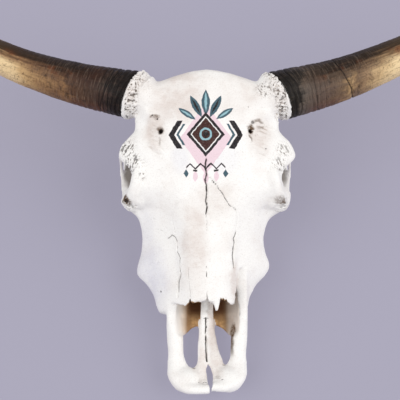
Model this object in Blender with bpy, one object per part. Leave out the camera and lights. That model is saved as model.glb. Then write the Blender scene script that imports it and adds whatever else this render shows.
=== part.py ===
"""Longhorn cattle skull with its horns, lying palate down as it rests on a table.

Metres, +Z up. The snout points to -Y, the horns spread along X, and left is the animal's
own left, +X. Y is first measured back from the front tip of the snout; the whole skull is
then moved so that the origin is at the bottom centre of its box.
"""

import math

import bmesh
import bpy
from mathutils import Matrix, Vector

# Driving dimensions
SNOUT_TO_CENTRE = 0.3445
GAP = 0.0003
SKIN_VOXEL = 0.0032
SOFTENING_FACTOR = 0.5
SOFTENING_STEPS = 6
KEPT_SHARE_OF_FACES = 0.047
SECTION_STEPS = 4
TUBE_SIDES = 12
BALL_SEGMENTS = 20
BALL_RINGS = 12
BOTH_SIDES = (-1, 1)

# Horns: centreline of each, and the sheath's radius by share of its length
HORN_LINES = {
    "left": ((0.1125, 0.446, 0.170), (0.208, 0.4785, 0.164), (0.304, 0.5215, 0.165),
             (0.393, 0.565, 0.180), (0.472, 0.609, 0.208), (0.543, 0.650, 0.249),
             (0.602, 0.684, 0.303)),
    "right": ((-0.116, 0.4485, 0.169), (-0.208, 0.475, 0.161), (-0.304, 0.511, 0.160),
              (-0.393, 0.554, 0.174), (-0.473, 0.598, 0.202), (-0.545, 0.641, 0.243),
              (-0.602, 0.678, 0.297)),
}
HORN_RADII = {
    "left": ((0.0, 0.0398), (0.17, 0.0348), (0.34, 0.0302), (0.52, 0.0240), (0.70, 0.0172),
             (0.86, 0.0100), (0.96, 0.0050), (1.0, 0.0022)),
    "right": ((0.0, 0.0384), (0.17, 0.0331), (0.34, 0.0280), (0.52, 0.0225), (0.70, 0.0162),
              (0.86, 0.0096), (0.96, 0.0050), (1.0, 0.0022)),
}
HORN_SIDES = 16
HORN_RINGS = 21
HORN_PATH_STEPS = 5
HORN_TIP_LENGTH = 0.002
CORE_RINGS = 7
CORE_LENGTH_SHARE = 0.24
CORE_RADIUS = 0.0335
CORE_TIP_RADIUS = 0.0180
CORE_TIP_DEPTH = 0.004
SOCKET_SLACK_SHARE = 0.001
BURR_RADIUS = 0.0412
BURR_WIDTH = 0.015
BURR_STEP = 0.0015
COLLAR_ROOT_DEPTH = 0.045
COLLAR_ROOT_RADIUS = 0.018
# How far the sheath's rim and the collar stand askew: slope, and where it has faded out
RIM_LEAN = math.tan(math.radians(12))
RIM_LEAN_REACH = 0.060

# Face: lines of (distance back from the snout tip, value)
FACE_START = 0.128
FACE_END = 0.335
FACE_TOP = ((0.128, 0.106), (0.150, 0.113), (0.200, 0.127), (0.250, 0.142), (0.300, 0.158),
            (0.335, 0.172))
FACE_SHOULDER_X = ((0.128, 0.036), (0.200, 0.045), (0.250, 0.057), (0.280, 0.072), (0.335, 0.095))
FACE_SHOULDER_DROP = ((0.128, 0.013), (0.200, 0.018), (0.250, 0.021), (0.300, 0.024))
FACE_SIDE_X = ((0.128, 0.066), (0.138, 0.071), (0.149, 0.0725), (0.159, 0.0765), (0.169, 0.082),
               (0.178, 0.089), (0.187, 0.098), (0.198, 0.1035), (0.207, 0.1035), (0.217, 0.100),
               (0.228, 0.0965), (0.245, 0.095), (0.265, 0.096), (0.285, 0.101), (0.335, 0.100))
FACE_SIDE_Z = ((0.128, 0.052), (0.190, 0.056), (0.211, 0.060), (0.250, 0.076), (0.290, 0.098),
               (0.335, 0.110))
JAW_X = ((0.128, 0.050), (0.165, 0.055), (0.210, 0.065), (0.250, 0.070), (0.290, 0.070),
         (0.335, 0.050))
JAW_Z = ((0.128, 0.034), (0.148, 0.025), (0.297, 0.024), (0.314, 0.050), (0.335, 0.085))
PALATE_Z = ((0.128, 0.036), (0.200, 0.038), (0.285, 0.040), (0.310, 0.070), (0.335, 0.090))
JAW_RIDGE_WIDTH = 0.024
# How far the cheeks and the tooth rows are set over to the right, a natural lopsidedness
CHEEK_SHIFT = ((0.128, 0.007), (0.190, 0.0085), (0.205, 0.005), (0.250, 0.0065), (0.300, 0.002),
               (0.335, 0.0))
ROW_SHIFT = ((0.128, 0.0065), (0.285, 0.003))

# Forehead plate
BROW_START = 0.255
POLL = 0.478
BROW_TOP = ((0.255, 0.138), (0.300, 0.158), (0.340, 0.175), (0.380, 0.189), (0.420, 0.200),
            (0.455, 0.205), (0.470, 0.203), (0.478, 0.196))
BROW_X = ((0.255, 0.050), (0.280, 0.090), (0.300, 0.121), (0.312, 0.122), (0.321, 0.116),
          (0.335, 0.121), (0.350, 0.1375), (0.359, 0.134), (0.369, 0.129), (0.378, 0.1200),
          (0.388, 0.112), (0.405, 0.1115), (0.430, 0.108), (0.445, 0.102), (0.455, 0.092),
          (0.462, 0.078), (0.470, 0.058), (0.478, 0.030))
BROW_EDGE_Z = ((0.255, 0.112), (0.280, 0.120), (0.300, 0.134), (0.330, 0.150), (0.360, 0.156),
               (0.400, 0.166), (0.440, 0.178), (0.478, 0.182))

# Roof over the nose, and the nose's inside
ROOF_START = 0.124
ROOF_END = 0.200
ROOF_TOP = ((0.124, 0.1045), (0.150, 0.113), (0.200, 0.127))
ROOF_HALF = ((0.124, 0.034), (0.140, 0.037), (0.200, 0.044))
NOSE_START = 0.090
NOSE_END = 0.235
NOSE_HALF = ((0.090, 0.046), (0.140, 0.046), (0.180, 0.040), (0.235, 0.022))
NOSE_TOP = ((0.090, 0.090), (0.124, 0.096), (0.150, 0.105), (0.200, 0.116), (0.235, 0.118))
NOSE_TOP_HALF = ((0.090, 0.044), (0.140, 0.030), (0.235, 0.016))
NOSE_FLOOR = ((0.090, 0.047), (0.140, 0.045), (0.235, 0.055))

# Eye sockets
ORBIT_CENTRE = (0.118, 0.325, 0.120)
ORBIT_RADIUS = 0.036
ORBIT_RIM_RADIUS = 0.0085
ORBIT_LEAN = math.radians(20)
ORBIT_POINTS = 16
ORBIT_RIM_SIDES = 8
KNOB_SHIFT = 0.0012

# Cheek teeth, front to back: name, length along the row, width across it
TEETH = (
    ("premolar_2", 0.0150, 0.0120),
    ("premolar_3", 0.0180, 0.0160),
    ("premolar_4", 0.0185, 0.0185),
    ("molar_1", 0.0240, 0.0210),
    ("molar_2", 0.0280, 0.0230),
    ("molar_3", 0.0300, 0.0220),
)
TOOTH_ROW_START = 0.150
TOOTH_SPACING = 0.0022
TOOTH_TOP = 0.036
TOOTH_WAIST = 0.012


def clear_scene():
    for old in list(bpy.data.objects):
        bpy.data.objects.remove(old)


def material(name, colour, roughness):
    made = bpy.data.materials.new(name)
    made.use_nodes = True
    shader = made.node_tree.nodes["Principled BSDF"]
    shader.inputs["Base Color"].default_value = (*colour, 1.0)
    shader.inputs["Roughness"].default_value = roughness
    shader.inputs["Metallic"].default_value = 0.0
    return made


def along(line, at):
    """Value of a line of (place, value) pairs at a place, smooth and with no overshoot."""
    if at <= line[0][0]:
        return line[0][1]
    if at >= line[-1][0]:
        return line[-1][1]
    last = len(line) - 1
    slopes = [(line[i + 1][1] - line[i][1]) / (line[i + 1][0] - line[i][0]) for i in range(last)]
    tangents = [slopes[0]]
    for before, after in zip(slopes, slopes[1:]):
        flat = before * after <= 0
        tangents.append(0.0 if flat else 2 * before * after / (before + after))
    tangents.append(slopes[-1])
    i = max(k for k in range(last) if line[k][0] <= at)
    span = line[i + 1][0] - line[i][0]
    t = (at - line[i][0]) / span
    return (
        (2 * t**3 - 3 * t**2 + 1) * line[i][1]
        + (t**3 - 2 * t**2 + t) * span * tangents[i]
        + (3 * t**2 - 2 * t**3) * line[i + 1][1]
        + (t**3 - t**2) * span * tangents[i + 1]
    )


def curve_points(points, steps, closed=False):
    """Points of a smooth curve through the given ones, with so many steps between each pair."""
    points = [Vector(p) for p in points]
    count = len(points)
    spans = count if closed else count - 1
    made = []
    for i in range(spans):
        if closed:
            a, b, c, d = (points[(i + k) % count] for k in (-1, 0, 1, 2))
        else:
            b, c = points[i], points[i + 1]
            a = points[i - 1] if i else b * 2 - c
            d = points[i + 2] if i + 2 < count else c * 2 - b
        for step in range(steps):
            t = step / steps
            made.append(
                0.5 * (2 * b + (c - a) * t + (2 * a - 5 * b + 4 * c - d) * t**2
                       + (3 * b - a - 3 * c + d) * t**3)
            )
    if not closed:
        made.append(points[-1])
    return made


def add_loft(bm, rings):
    """Closed skin over rings of equal point counts, with a flat cap at each end."""
    loops = [[bm.verts.new(p) for p in ring] for ring in rings]
    count = len(loops[0])
    for first, second in zip(loops, loops[1:]):
        for i in range(count):
            bm.faces.new((first[i], first[(i + 1) % count], second[(i + 1) % count], second[i]))
    bm.faces.new(loops[0][::-1])
    bm.faces.new(loops[-1])


def add_sections(bm, places, left_half, right_half=None):
    """Loft along Y of sections given as (x, z) points from the top middle to the bottom middle."""
    rings = []
    for y in places:
        left = left_half(y)
        right = (right_half or left_half)(y)
        outline = left + [(-x, z) for x, z in right[-2:0:-1]]
        ring = curve_points([(x, y, z) for x, z in outline], SECTION_STEPS, closed=True)
        rings.append(ring)
    add_loft(bm, rings)


def steps_between(start, end, count):
    return [start + (end - start) * i / (count - 1) for i in range(count)]


def tube_rings(points, radii, sides, up=Vector((0, 0, 1))):
    """Rings square to a path. Each radius is a number or (across, upward) pair."""
    rings = []
    for i, point in enumerate(points):
        ahead = points[min(i + 1, len(points) - 1)] - points[max(i - 1, 0)]
        ahead.normalize()
        across = ahead.cross(up).normalized()
        upward = across.cross(ahead)
        radius = radii[i]
        wide, high = radius if isinstance(radius, tuple) else (radius, radius)
        ring = []
        for k in range(sides):
            angle = 2 * math.pi * k / sides
            ring.append(point + across * wide * math.cos(angle) + upward * high * math.sin(angle))
        rings.append(ring)
    return rings


def add_tube(bm, points, radii, sides=TUBE_SIDES, up=Vector((0, 0, 1))):
    """Tube along a smooth curve through the points, each with its own radius or (across, up)."""
    path = curve_points(points, SECTION_STEPS)
    pairs = [r if isinstance(r, tuple) else (r, r) for r in radii]
    sizes = []
    for i in range(len(path)):
        place = i / SECTION_STEPS
        low = min(int(place), len(pairs) - 2)
        share = place - low
        sizes.append(tuple(a + (b - a) * share for a, b in zip(pairs[low], pairs[low + 1])))
    add_loft(bm, tube_rings(path, sizes, sides, up))


def add_ball(bm, centre, radii, turn=None):
    place = Matrix.Translation(centre) @ (turn or Matrix.Identity(4)) @ Matrix.Diagonal((*radii, 1))
    bmesh.ops.create_uvsphere(bm, u_segments=BALL_SEGMENTS, v_segments=BALL_RINGS, radius=1.0,
                              matrix=place)


def add_prism(bm, outline, low, high, axis="Z"):
    """Outline given as pairs, filled and extruded from low to high along an axis."""
    def place(pair, level):
        return (level, *pair) if axis == "X" else (*pair, level)
    add_loft(bm, [[place(pair, level) for pair in outline] for level in (low, high)])


def add_box(bm, low, high):
    centre = [(a + b) / 2 for a, b in zip(low, high)]
    size = [b - a for a, b in zip(low, high)]
    bmesh.ops.create_cube(bm, size=1.0, matrix=Matrix.Translation(centre) @ Matrix.Diagonal((*size, 1)))


def mirrored(points, side):
    return [(x * side, y, z) for x, y, z in points]


def new_object(name, bm, paint=None):
    bmesh.ops.recalc_face_normals(bm, faces=bm.faces)
    mesh = bpy.data.meshes.new(name)
    bm.to_mesh(mesh)
    bm.free()
    made = bpy.data.objects.new(name, mesh)
    bpy.context.scene.collection.objects.link(made)
    if paint:
        mesh.materials.append(paint)
    return made


def new_cutter(name, bm):
    made = new_object(name, bm)
    made.hide_render = True
    made.display_type = "WIRE"
    return made


def add_remesh(made, size):
    remesh = made.modifiers.new("Skin", "REMESH")
    remesh.mode = "VOXEL"
    remesh.voxel_size = size


def add_boolean(made, other, operation):
    cut = made.modifiers.new(other.name, "BOOLEAN")
    cut.operation = operation
    cut.object = other
    cut.solver = "EXACT"


# Bone

def face_section(y, side_of_face=1):
    top = along(FACE_TOP, y)
    cheek_shift = -along(CHEEK_SHIFT, y) * side_of_face
    row_shift = -along(ROW_SHIFT, y) * side_of_face
    shoulder = along(FACE_SHOULDER_X, y)
    shoulder_z = top - along(FACE_SHOULDER_DROP, y)
    side = along(FACE_SIDE_X, y) + cheek_shift
    side_z = along(FACE_SIDE_Z, y)
    jaw = along(JAW_X, y) + row_shift
    jaw_z = along(JAW_Z, y)
    palate_z = along(PALATE_Z, y)
    return [
        (0.0, top),
        (shoulder * 0.6, top - 0.003),
        (shoulder, shoulder_z),
        ((shoulder + side) / 2 + 0.003, (shoulder_z + side_z) / 2 + 0.003),
        (side, side_z),
        ((side + jaw) / 2 - 0.002, (side_z + jaw_z) / 2),
        (jaw, jaw_z),
        (jaw - JAW_RIDGE_WIDTH, jaw_z),
        (jaw - JAW_RIDGE_WIDTH - 0.008, palate_z),
        (0.0, palate_z),
    ]


def brow_section(y):
    top = along(BROW_TOP, y)
    edge = along(BROW_X, y)
    edge_z = along(BROW_EDGE_Z, y)
    return [
        (0.0, top),
        (edge * 0.5, top - (top - edge_z) * 0.16),
        (edge * 0.85, top - (top - edge_z) * 0.6),
        (edge, edge_z),
        (edge - 0.006, edge_z - 0.012),
        (edge * 0.7, edge_z - 0.022),
        (0.0, edge_z - 0.030),
    ]


def orbit_ring(side):
    """Points round the rim of one orbit, whose lower edge stands out further than its upper."""
    centre = Vector(mirrored([ORBIT_CENTRE], side)[0])
    upward = Vector((-math.sin(ORBIT_LEAN) * side, 0.0, math.cos(ORBIT_LEAN)))
    back = Vector((0.0, 1.0, 0.0))
    angles = [2 * math.pi * k / ORBIT_POINTS for k in range(ORBIT_POINTS)]
    return [centre + ORBIT_RADIUS * (back * math.cos(a) + upward * math.sin(a)) for a in angles]


def add_ring(bm, points, radius, sides):
    """Closed round bar through the points."""
    count = len(points)
    loops = []
    centre = sum(points, Vector()) / count
    for i, point in enumerate(points):
        ahead = (points[(i + 1) % count] - points[i - 1]).normalized()
        outward = (point - centre).normalized()
        sideways = ahead.cross(outward)
        loop = []
        for k in range(sides):
            angle = 2 * math.pi * k / sides
            loop.append(bm.verts.new(point + outward * radius * math.cos(angle)
                                     + sideways * radius * math.sin(angle)))
        loops.append(loop)
    for i, loop in enumerate(loops):
        after = loops[(i + 1) % count]
        for k in range(sides):
            bm.faces.new((loop[k], loop[(k + 1) % sides], after[(k + 1) % sides], after[k]))


def add_face(bm):
    add_sections(bm, steps_between(FACE_START, FACE_END, 30), face_section,
                 lambda y: face_section(y, -1))


def add_brow(bm):
    add_sections(bm, steps_between(BROW_START, POLL, 46), brow_section)


def add_nasal_roof(bm):
    def section(y):
        top = along(ROOF_TOP, y)
        half = along(ROOF_HALF, y)
        return [(0.0, top), (half * 0.6, top - 0.003), (half, top - 0.014), (half - 0.006, top - 0.018),
                (half * 0.5, top - 0.010), (0.0, top - 0.007)]
    add_sections(bm, steps_between(ROOF_START, ROOF_END, 12), section)


def add_snout(bm):
    for side in BOTH_SIDES:
        bar = ((0.052, 0.195, 0.086), (0.051, 0.170, 0.074), (0.0495, 0.145, 0.063),
               (0.0490, 0.120, 0.055), (0.0490, 0.095, 0.048), (0.0470, 0.070, 0.044),
               (0.0465, 0.050, 0.041), (0.0450, 0.034, 0.041))
        add_tube(bm, mirrored(bar, side),
                 [(0.010, 0.010), (0.012, 0.012), (0.0135, 0.0125), (0.0135, 0.012),
                  (0.0130, 0.010), (0.0120, 0.009), (0.0135, 0.008), (0.014, 0.008)])
        inner = 0.0120 if side > 0 else 0.0060
        rim = ((0.0490, 0.052, 0.041), (0.0515, 0.038, 0.042), (0.0470, 0.0255, 0.044),
               (0.0360, 0.0150, 0.046), (0.0240, 0.0105, 0.048), (inner, 0.0125, 0.047))
        add_tube(bm, mirrored(rim, side), [0.0085, 0.0092, 0.0092, 0.0085, 0.0080, 0.0075])
        front = ((inner - 0.005, 0.016), (0.014, 0.009), (0.030, 0.010), (0.046, 0.022),
                 (0.052, 0.046), (0.037, 0.048), (0.030, 0.042), (0.020, 0.042), (0.012, 0.048),
                 (inner - 0.002, 0.030))
        add_prism(bm, [(x * side, y) for x, y in front], 0.0350, 0.0430)
        shelf = ((-0.002, 0.119), (0.012, 0.115), (0.024, 0.108), (0.036, 0.096), (0.050, 0.098),
                 (0.054, 0.140), (-0.002, 0.140))
        add_prism(bm, [(x * side, y) for x, y in shelf], 0.0340, 0.0430)
    right_rod = ((-0.007, 0.180, 0.046), (-0.007, 0.140, 0.044), (-0.0075, 0.105, 0.042),
                 (-0.0085, 0.070, 0.041), (-0.010, 0.045, 0.040), (-0.016, 0.028, 0.040))
    left_rod = ((0.006, 0.180, 0.046), (0.006, 0.140, 0.044), (0.008, 0.105, 0.042),
                (0.014, 0.070, 0.041), (0.021, 0.045, 0.040), (0.025, 0.028, 0.040))
    add_tube(bm, right_rod, [(0.006, 0.006), (0.006, 0.006), (0.0065, 0.005), (0.0070, 0.005),
                             (0.009, 0.005), (0.010, 0.005)])
    add_tube(bm, left_rod, [(0.006, 0.006), (0.006, 0.006), (0.0070, 0.005), (0.0085, 0.005),
                            (0.010, 0.005), (0.010, 0.005)])


def add_nasal_partition(bm):
    """Bony strip standing on the floor of the nose."""
    line = ((0.0, 0.112, 0.048), (0.0, 0.125, 0.052), (0.0, 0.160, 0.056), (0.0, 0.240, 0.062))
    add_tube(bm, line, [(0.0075, 0.006), (0.009, 0.010), (0.008, 0.014), (0.006, 0.020)])


def add_orbits(bm):
    for side in BOTH_SIDES:
        add_ring(bm, orbit_ring(side), ORBIT_RIM_RADIUS, ORBIT_RIM_SIDES)
        add_ball(bm, (0.105 * side, 0.300, 0.112), (0.026, 0.022, 0.022))
        add_ball(bm, (0.116 * side - KNOB_SHIFT, 0.288, 0.106), (0.013, 0.012, 0.013))
        crest = ((0.114, 0.298, 0.098), (0.094, 0.276, 0.088), (0.086, 0.245, 0.074),
                 (0.089, 0.207, 0.060))
        crest = [(x * side - along(CHEEK_SHIFT, y), y, z) for x, y, z in crest]
        add_tube(bm, crest, [0.016, 0.010, 0.009, 0.009])
        arch = ((0.120, 0.300, 0.098), (0.1245, 0.325, 0.092), (0.125, 0.355, 0.092),
                (0.118, 0.385, 0.098), (0.100, 0.410, 0.106), (0.080, 0.425, 0.112))
        add_tube(bm, mirrored(arch, side), [(0.007, 0.011), (0.006, 0.011), (0.006, 0.010),
                                            (0.007, 0.010), (0.011, 0.012), (0.016, 0.016)])
        pedicle = ((0.060, 0.425, 0.165), (0.085, 0.436, 0.168), (0.0965, 0.4415, 0.169),
                   (0.1035, 0.4455, 0.170))
        add_tube(bm, mirrored(pedicle, side), [0.024, 0.028, 0.034, 0.0370], sides=20)
        wall = ((0.050, 0.285, 0.095), (0.045, 0.320, 0.100), (0.042, 0.360, 0.105))
        add_tube(bm, mirrored(wall, side), [(0.035, 0.040), (0.016, 0.034), (0.016, 0.030)])


def add_braincase(bm):
    add_ball(bm, (0.0, 0.392, 0.114), (0.062, 0.070, 0.060))
    add_tube(bm, ((0.0, 0.300, 0.088), (0.0, 0.350, 0.080), (0.0, 0.400, 0.066), (0.0, 0.452, 0.056)),
             [(0.022, 0.012), (0.026, 0.014), (0.028, 0.016), (0.020, 0.012)])
    nape = ((0.046, 0.050, 0.415, 0.446), (0.070, 0.070, 0.400, 0.450), (0.100, 0.088, 0.386, 0.448),
            (0.135, 0.100, 0.380, 0.450), (0.165, 0.104, 0.380, 0.460), (0.188, 0.094, 0.400, 0.470))
    rings = []
    for z, half, front, back in nape:
        middle = (front + back) / 2
        outline = ((half * 0.92, front, z), (half, middle, z), (half * 0.80, back - 0.006, z),
                   (0.0, back, z), (-half * 0.80, back - 0.006, z), (-half, middle, z),
                   (-half * 0.92, front, z), (0.0, front, z))
        rings.append(curve_points(outline, 3, closed=True))
    add_loft(bm, rings)
    for side in BOTH_SIDES:
        add_ball(bm, (0.027 * side, 0.456, 0.058), (0.018, 0.020, 0.024),
                 Matrix.Rotation(math.radians(25 * side), 4, "Z"))
        jugular = ((0.060, 0.424, 0.085), (0.063, 0.430, 0.056), (0.060, 0.434, 0.028),
                   (0.054, 0.436, -0.006))
        add_tube(bm, mirrored(jugular, side), [(0.014, 0.022), (0.009, 0.018), (0.008, 0.014),
                                               (0.0075, 0.010)], up=Vector((0, 1, 0)))
        add_ball(bm, (0.047 * side, 0.396, 0.054), (0.013, 0.020, 0.018))
        ear = ((0.088, 0.402, 0.112), (0.092, 0.418, 0.092), (0.076, 0.430, 0.066))
        add_tube(bm, mirrored(ear, side), [0.020, 0.016, 0.010])


def add_pterygoids(bm):
    """Thin upright plates behind the palate, each ending in a small hook."""
    for side in BOTH_SIDES:
        for step in range(4):
            y = 0.285 + 0.018 * step
            low = 0.034 + 0.004 * step * step
            plate = ((0.030, y, 0.098), (0.029, y, 0.070), (0.027, y - 0.004, low))
            add_tube(bm, mirrored(plate, side), [(0.006, 0.014), (0.005, 0.013), (0.004, 0.010)],
                     up=Vector((0, 1, 0)))


def bone_solids():
    bm = bmesh.new()
    add_face(bm)
    add_brow(bm)
    add_nasal_roof(bm)
    add_snout(bm)
    add_orbits(bm)
    add_braincase(bm)
    add_pterygoids(bm)
    return bm


def nasal_hollow(bm):
    """Space of the nose, open in front and closed behind."""
    def section(y):
        wide = along(NOSE_HALF, y)
        roof = along(NOSE_TOP, y)
        floor = along(NOSE_FLOOR, y)
        roof_half = along(NOSE_TOP_HALF, y)
        return [(0.0, roof), (roof_half, roof - 0.008), (wide, (roof + floor) / 2 - 0.005),
                (wide * 0.9, floor + 0.006), (wide * 0.6, floor), (0.0, floor)]
    add_sections(bm, steps_between(NOSE_START, NOSE_END, 12), section)


def hollows():
    bm = bmesh.new()
    nasal_hollow(bm)
    # Notch between each nasal bone and the bar below it; the left one has sprung further open
    for side, back in ((-1, 0.0), (1, 0.014)):
        notch = ((0.090, 0.062), (0.128, 0.068), (0.148, 0.076), (0.162 + back * 0.5, 0.086),
                 (0.184 + back, 0.098), (0.166, 0.0965), (0.150, 0.092), (0.128, 0.0865),
                 (0.090, 0.080))
        add_prism(bm, notch, 0.028 * side, 0.100 * side, axis="X")
    # Free ends of the nasal bones: a cleft in each and one between them
    for x, half, depth in ((0.001, 0.003, 0.010), (-0.019, 0.006, 0.008), (0.019, 0.007, 0.009)):
        cleft = ((x - half, 0.110), (x - half, 0.122), (x, 0.124 + depth), (x + half, 0.122),
                 (x + half, 0.110))
        add_prism(bm, cleft, 0.088, 0.120)
    add_tube(bm, ((0.0, 0.250, 0.068), (0.0, 0.290, 0.062), (0.0, 0.330, 0.052), (0.0, 0.380, 0.040)),
             [(0.016, 0.012), (0.022, 0.018), (0.023, 0.020), (0.024, 0.022)])
    for side in BOTH_SIDES:
        add_tube(bm, mirrored(((0.160, 0.316, 0.128), (0.120, 0.324, 0.119), (0.082, 0.336, 0.117),
                               (0.060, 0.346, 0.116)), side), [0.028, 0.0265, 0.025, 0.014], sides=16)
    add_tube(bm, ((0.0, 0.500, 0.078), (0.0, 0.452, 0.084), (0.0, 0.420, 0.100), (0.0, 0.360, 0.116)),
             [0.017, 0.018, 0.034, 0.020], sides=16)
    return bm


def build_cranium(bone, cores, sockets):
    cutter = new_cutter("bone_hollows", hollows())
    add_remesh(cutter, SKIN_VOXEL)
    cranium = new_object("cranium", bone_solids(), bone)
    add_remesh(cranium, SKIN_VOXEL)
    add_boolean(cranium, cutter, "DIFFERENCE")
    partition = bmesh.new()
    add_nasal_partition(partition)
    strip = new_cutter("nasal_partition", partition)
    add_boolean(cranium, strip, "UNION")
    add_remesh(cranium, SKIN_VOXEL)
    smooth = cranium.modifiers.new("Soften", "SMOOTH")
    smooth.factor = SOFTENING_FACTOR
    smooth.iterations = SOFTENING_STEPS
    thin = cranium.modifiers.new("Thin", "DECIMATE")
    thin.ratio = KEPT_SHARE_OF_FACES
    add_boolean(cranium, cores, "UNION")
    add_boolean(cranium, sockets, "DIFFERENCE")
    floor = bmesh.new()
    add_box(floor, (-0.2, 0.3, -0.05), (0.2, 0.5, 0.0))
    add_boolean(cranium, new_cutter("ground", floor), "DIFFERENCE")
    return cranium


# Horns

def horn_path(side):
    return curve_points(HORN_LINES[side], HORN_PATH_STEPS)


def core_profile(slack_share=0.0):
    """Shares of the horn's length with the core's radius, ending in a blunt tip."""
    profile = []
    for share in steps_between(0.0, 1.0, CORE_RINGS):
        radius = CORE_RADIUS + (CORE_TIP_RADIUS - CORE_RADIUS) * share
        profile.append((CORE_LENGTH_SHARE * share, radius))
    profile.append((CORE_LENGTH_SHARE * 1.05 + slack_share, CORE_TIP_RADIUS * 0.72))
    return profile


def point_at(path, share):
    place = share * (len(path) - 1)
    low = min(int(place), len(path) - 2)
    return path[low].lerp(path[low + 1], place - low)


def leaned(ring, middle, ahead, distance):
    """Ring slid along the horn, backmost points inward, the more so the nearer it is to the root."""
    lean = RIM_LEAN * max(0.0, 1 - distance / RIM_LEAN_REACH)
    back = Vector((0.0, 1.0, 0.0))
    back = (back - ahead * ahead.dot(back)).normalized()
    return [p - ahead * lean * (p - middle).dot(back) for p in ring]


def profile_rings(path, profile, sides, grow=0.0):
    points = [point_at(path, share) for share, _ in profile]
    ahead = (path[1] - path[0]).normalized()
    rings = tube_rings(points, [radius + grow for _, radius in profile], sides)
    return [leaned(ring, point, ahead, (point - path[0]).length) for ring, point in zip(rings, points)]


def build_cores():
    """Both bony cores, each with the thick collar that stands behind the sheath."""
    bm = bmesh.new()
    for side in HORN_LINES:
        path = horn_path(side)
        inward = (path[0] - path[1]).normalized()
        depths = (COLLAR_ROOT_DEPTH, BURR_WIDTH, BURR_WIDTH * 0.7, BURR_WIDTH * 0.25)
        start = [path[0] + inward * depth for depth in depths]
        radii = [COLLAR_ROOT_RADIUS, BURR_RADIUS * 0.81, BURR_RADIUS - 0.001, BURR_RADIUS]
        step = path[0] + inward * BURR_STEP
        start += [step, step - inward * 0.0001]
        radii += [BURR_RADIUS - 0.001, CORE_RADIUS]
        rings = tube_rings(start, radii, HORN_SIDES)
        rings = [leaned(ring, point, -inward, 0.0) for ring, point in zip(rings, start)]
        rings += profile_rings(path, core_profile(), HORN_SIDES)
        add_loft(bm, rings)
    return new_cutter("horn_cores", bm)


def build_horn(side, keratin):
    """Sheath with a blind socket that fits over the core."""
    bm = bmesh.new()
    path = horn_path(side)
    shares = steps_between(0.0, 1.0, HORN_RINGS)
    outer_profile = [(share, along(HORN_RADII[side], share)) for share in shares]
    outer = profile_rings(path, outer_profile, HORN_SIDES)
    inner = profile_rings(path, core_profile(SOCKET_SLACK_SHARE), HORN_SIDES, GAP)
    inward = (path[0] - path[1]).normalized()
    end = inner[-1]
    centre = sum(end, Vector()) / HORN_SIDES
    outer_loops = [[bm.verts.new(p) for p in ring] for ring in outer]
    inner_loops = [[bm.verts.new(p) for p in ring] for ring in inner]
    for loops in (outer_loops, inner_loops):
        for first, second in zip(loops, loops[1:]):
            for i in range(HORN_SIDES):
                j = (i + 1) % HORN_SIDES
                bm.faces.new((first[i], first[j], second[j], second[i]))
    for i in range(HORN_SIDES):
        j = (i + 1) % HORN_SIDES
        bm.faces.new((outer_loops[0][i], outer_loops[0][j], inner_loops[0][j], inner_loops[0][i]))
    tip = bm.verts.new(path[-1] + (path[-1] - path[-2]).normalized() * HORN_TIP_LENGTH)
    bottom = bm.verts.new(centre - inward * CORE_TIP_DEPTH)
    for loops, apex in ((outer_loops, tip), (inner_loops, bottom)):
        for i in range(HORN_SIDES):
            bm.faces.new((loops[-1][i], loops[-1][(i + 1) % HORN_SIDES], apex))
    made = new_object(f"horn_{side}", bm, keratin)
    made.data.shade_smooth()


# Teeth

def tooth_outline(length, width, grow=0.0):
    """Rounded block with two lobes on its outer side, as (out, along) points."""
    half_long = length / 2 + grow
    half_wide = width / 2 + grow
    lobe = width * 0.08
    return (
        (-half_wide, -half_long * 0.60), (-half_wide * 0.70, -half_long), (half_wide * 0.70, -half_long),
        (half_wide + lobe * 0.2, -half_long * 0.62), (half_wide, -half_long * 0.12),
        (half_wide - lobe, half_long * 0.08), (half_wide, half_long * 0.30),
        (half_wide * 0.86, half_long * 0.94), (half_wide * 0.30, half_long),
        (-half_wide * 0.60, half_long), (-half_wide, half_long * 0.60), (-half_wide * 1.02, 0.0),
    )


def row_x(y, side):
    """X of the middle of a tooth row."""
    return (along(JAW_X, y) - JAW_RIDGE_WIDTH / 2) * side - along(ROW_SHIFT, y)


def tooth_places():
    """Name, middle, heading and size of every tooth."""
    for side, side_name in ((1, "left"), (-1, "right")):
        start = TOOTH_ROW_START
        for name, length, width in TEETH:
            middle = start + length / 2
            start += length + TOOTH_SPACING
            x = row_x(middle, side)
            turn = math.atan2(row_x(middle + 0.01, side) - row_x(middle - 0.01, side), 0.02)
            yield f"{side_name}_{name}", Vector((x, middle, 0.0)), turn, length, width, side


def tooth_ring(place, turn, length, width, side, z, grow):
    ring = []
    for out, ahead in tooth_outline(length, width, grow):
        x = out * side
        ring.append(Vector((
            place.x + x * math.cos(turn) + ahead * math.sin(turn),
            place.y - x * math.sin(turn) + ahead * math.cos(turn),
            z,
        )))
    return ring


def build_teeth(enamel):
    sockets = bmesh.new()
    for name, place, turn, length, width, side in tooth_places():
        bm = bmesh.new()
        levels = ((0.0, -0.0016), (0.0025, -0.0002), (TOOTH_WAIST, 0.0), (TOOTH_TOP, -0.0012))
        add_loft(bm, [tooth_ring(place, turn, length, width, side, z, grow) for z, grow in levels])
        new_object(name, bm, enamel)
        levels = ((-0.01, GAP), (TOOTH_WAIST, GAP), (TOOTH_TOP + GAP, GAP))
        add_loft(sockets, [tooth_ring(place, turn, length, width, side, z, grow) for z, grow in levels])
    return new_cutter("tooth_sockets", sockets)


def place_all():
    """Move everything from the snout's tip to the middle of the box."""
    middle = bpy.data.objects.new("skull_place", None)
    bpy.context.scene.collection.objects.link(middle)
    middle.location = (0.0, -SNOUT_TO_CENTRE, 0.0)
    for made in bpy.context.scene.objects:
        if made is not middle:
            made.parent = middle


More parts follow.
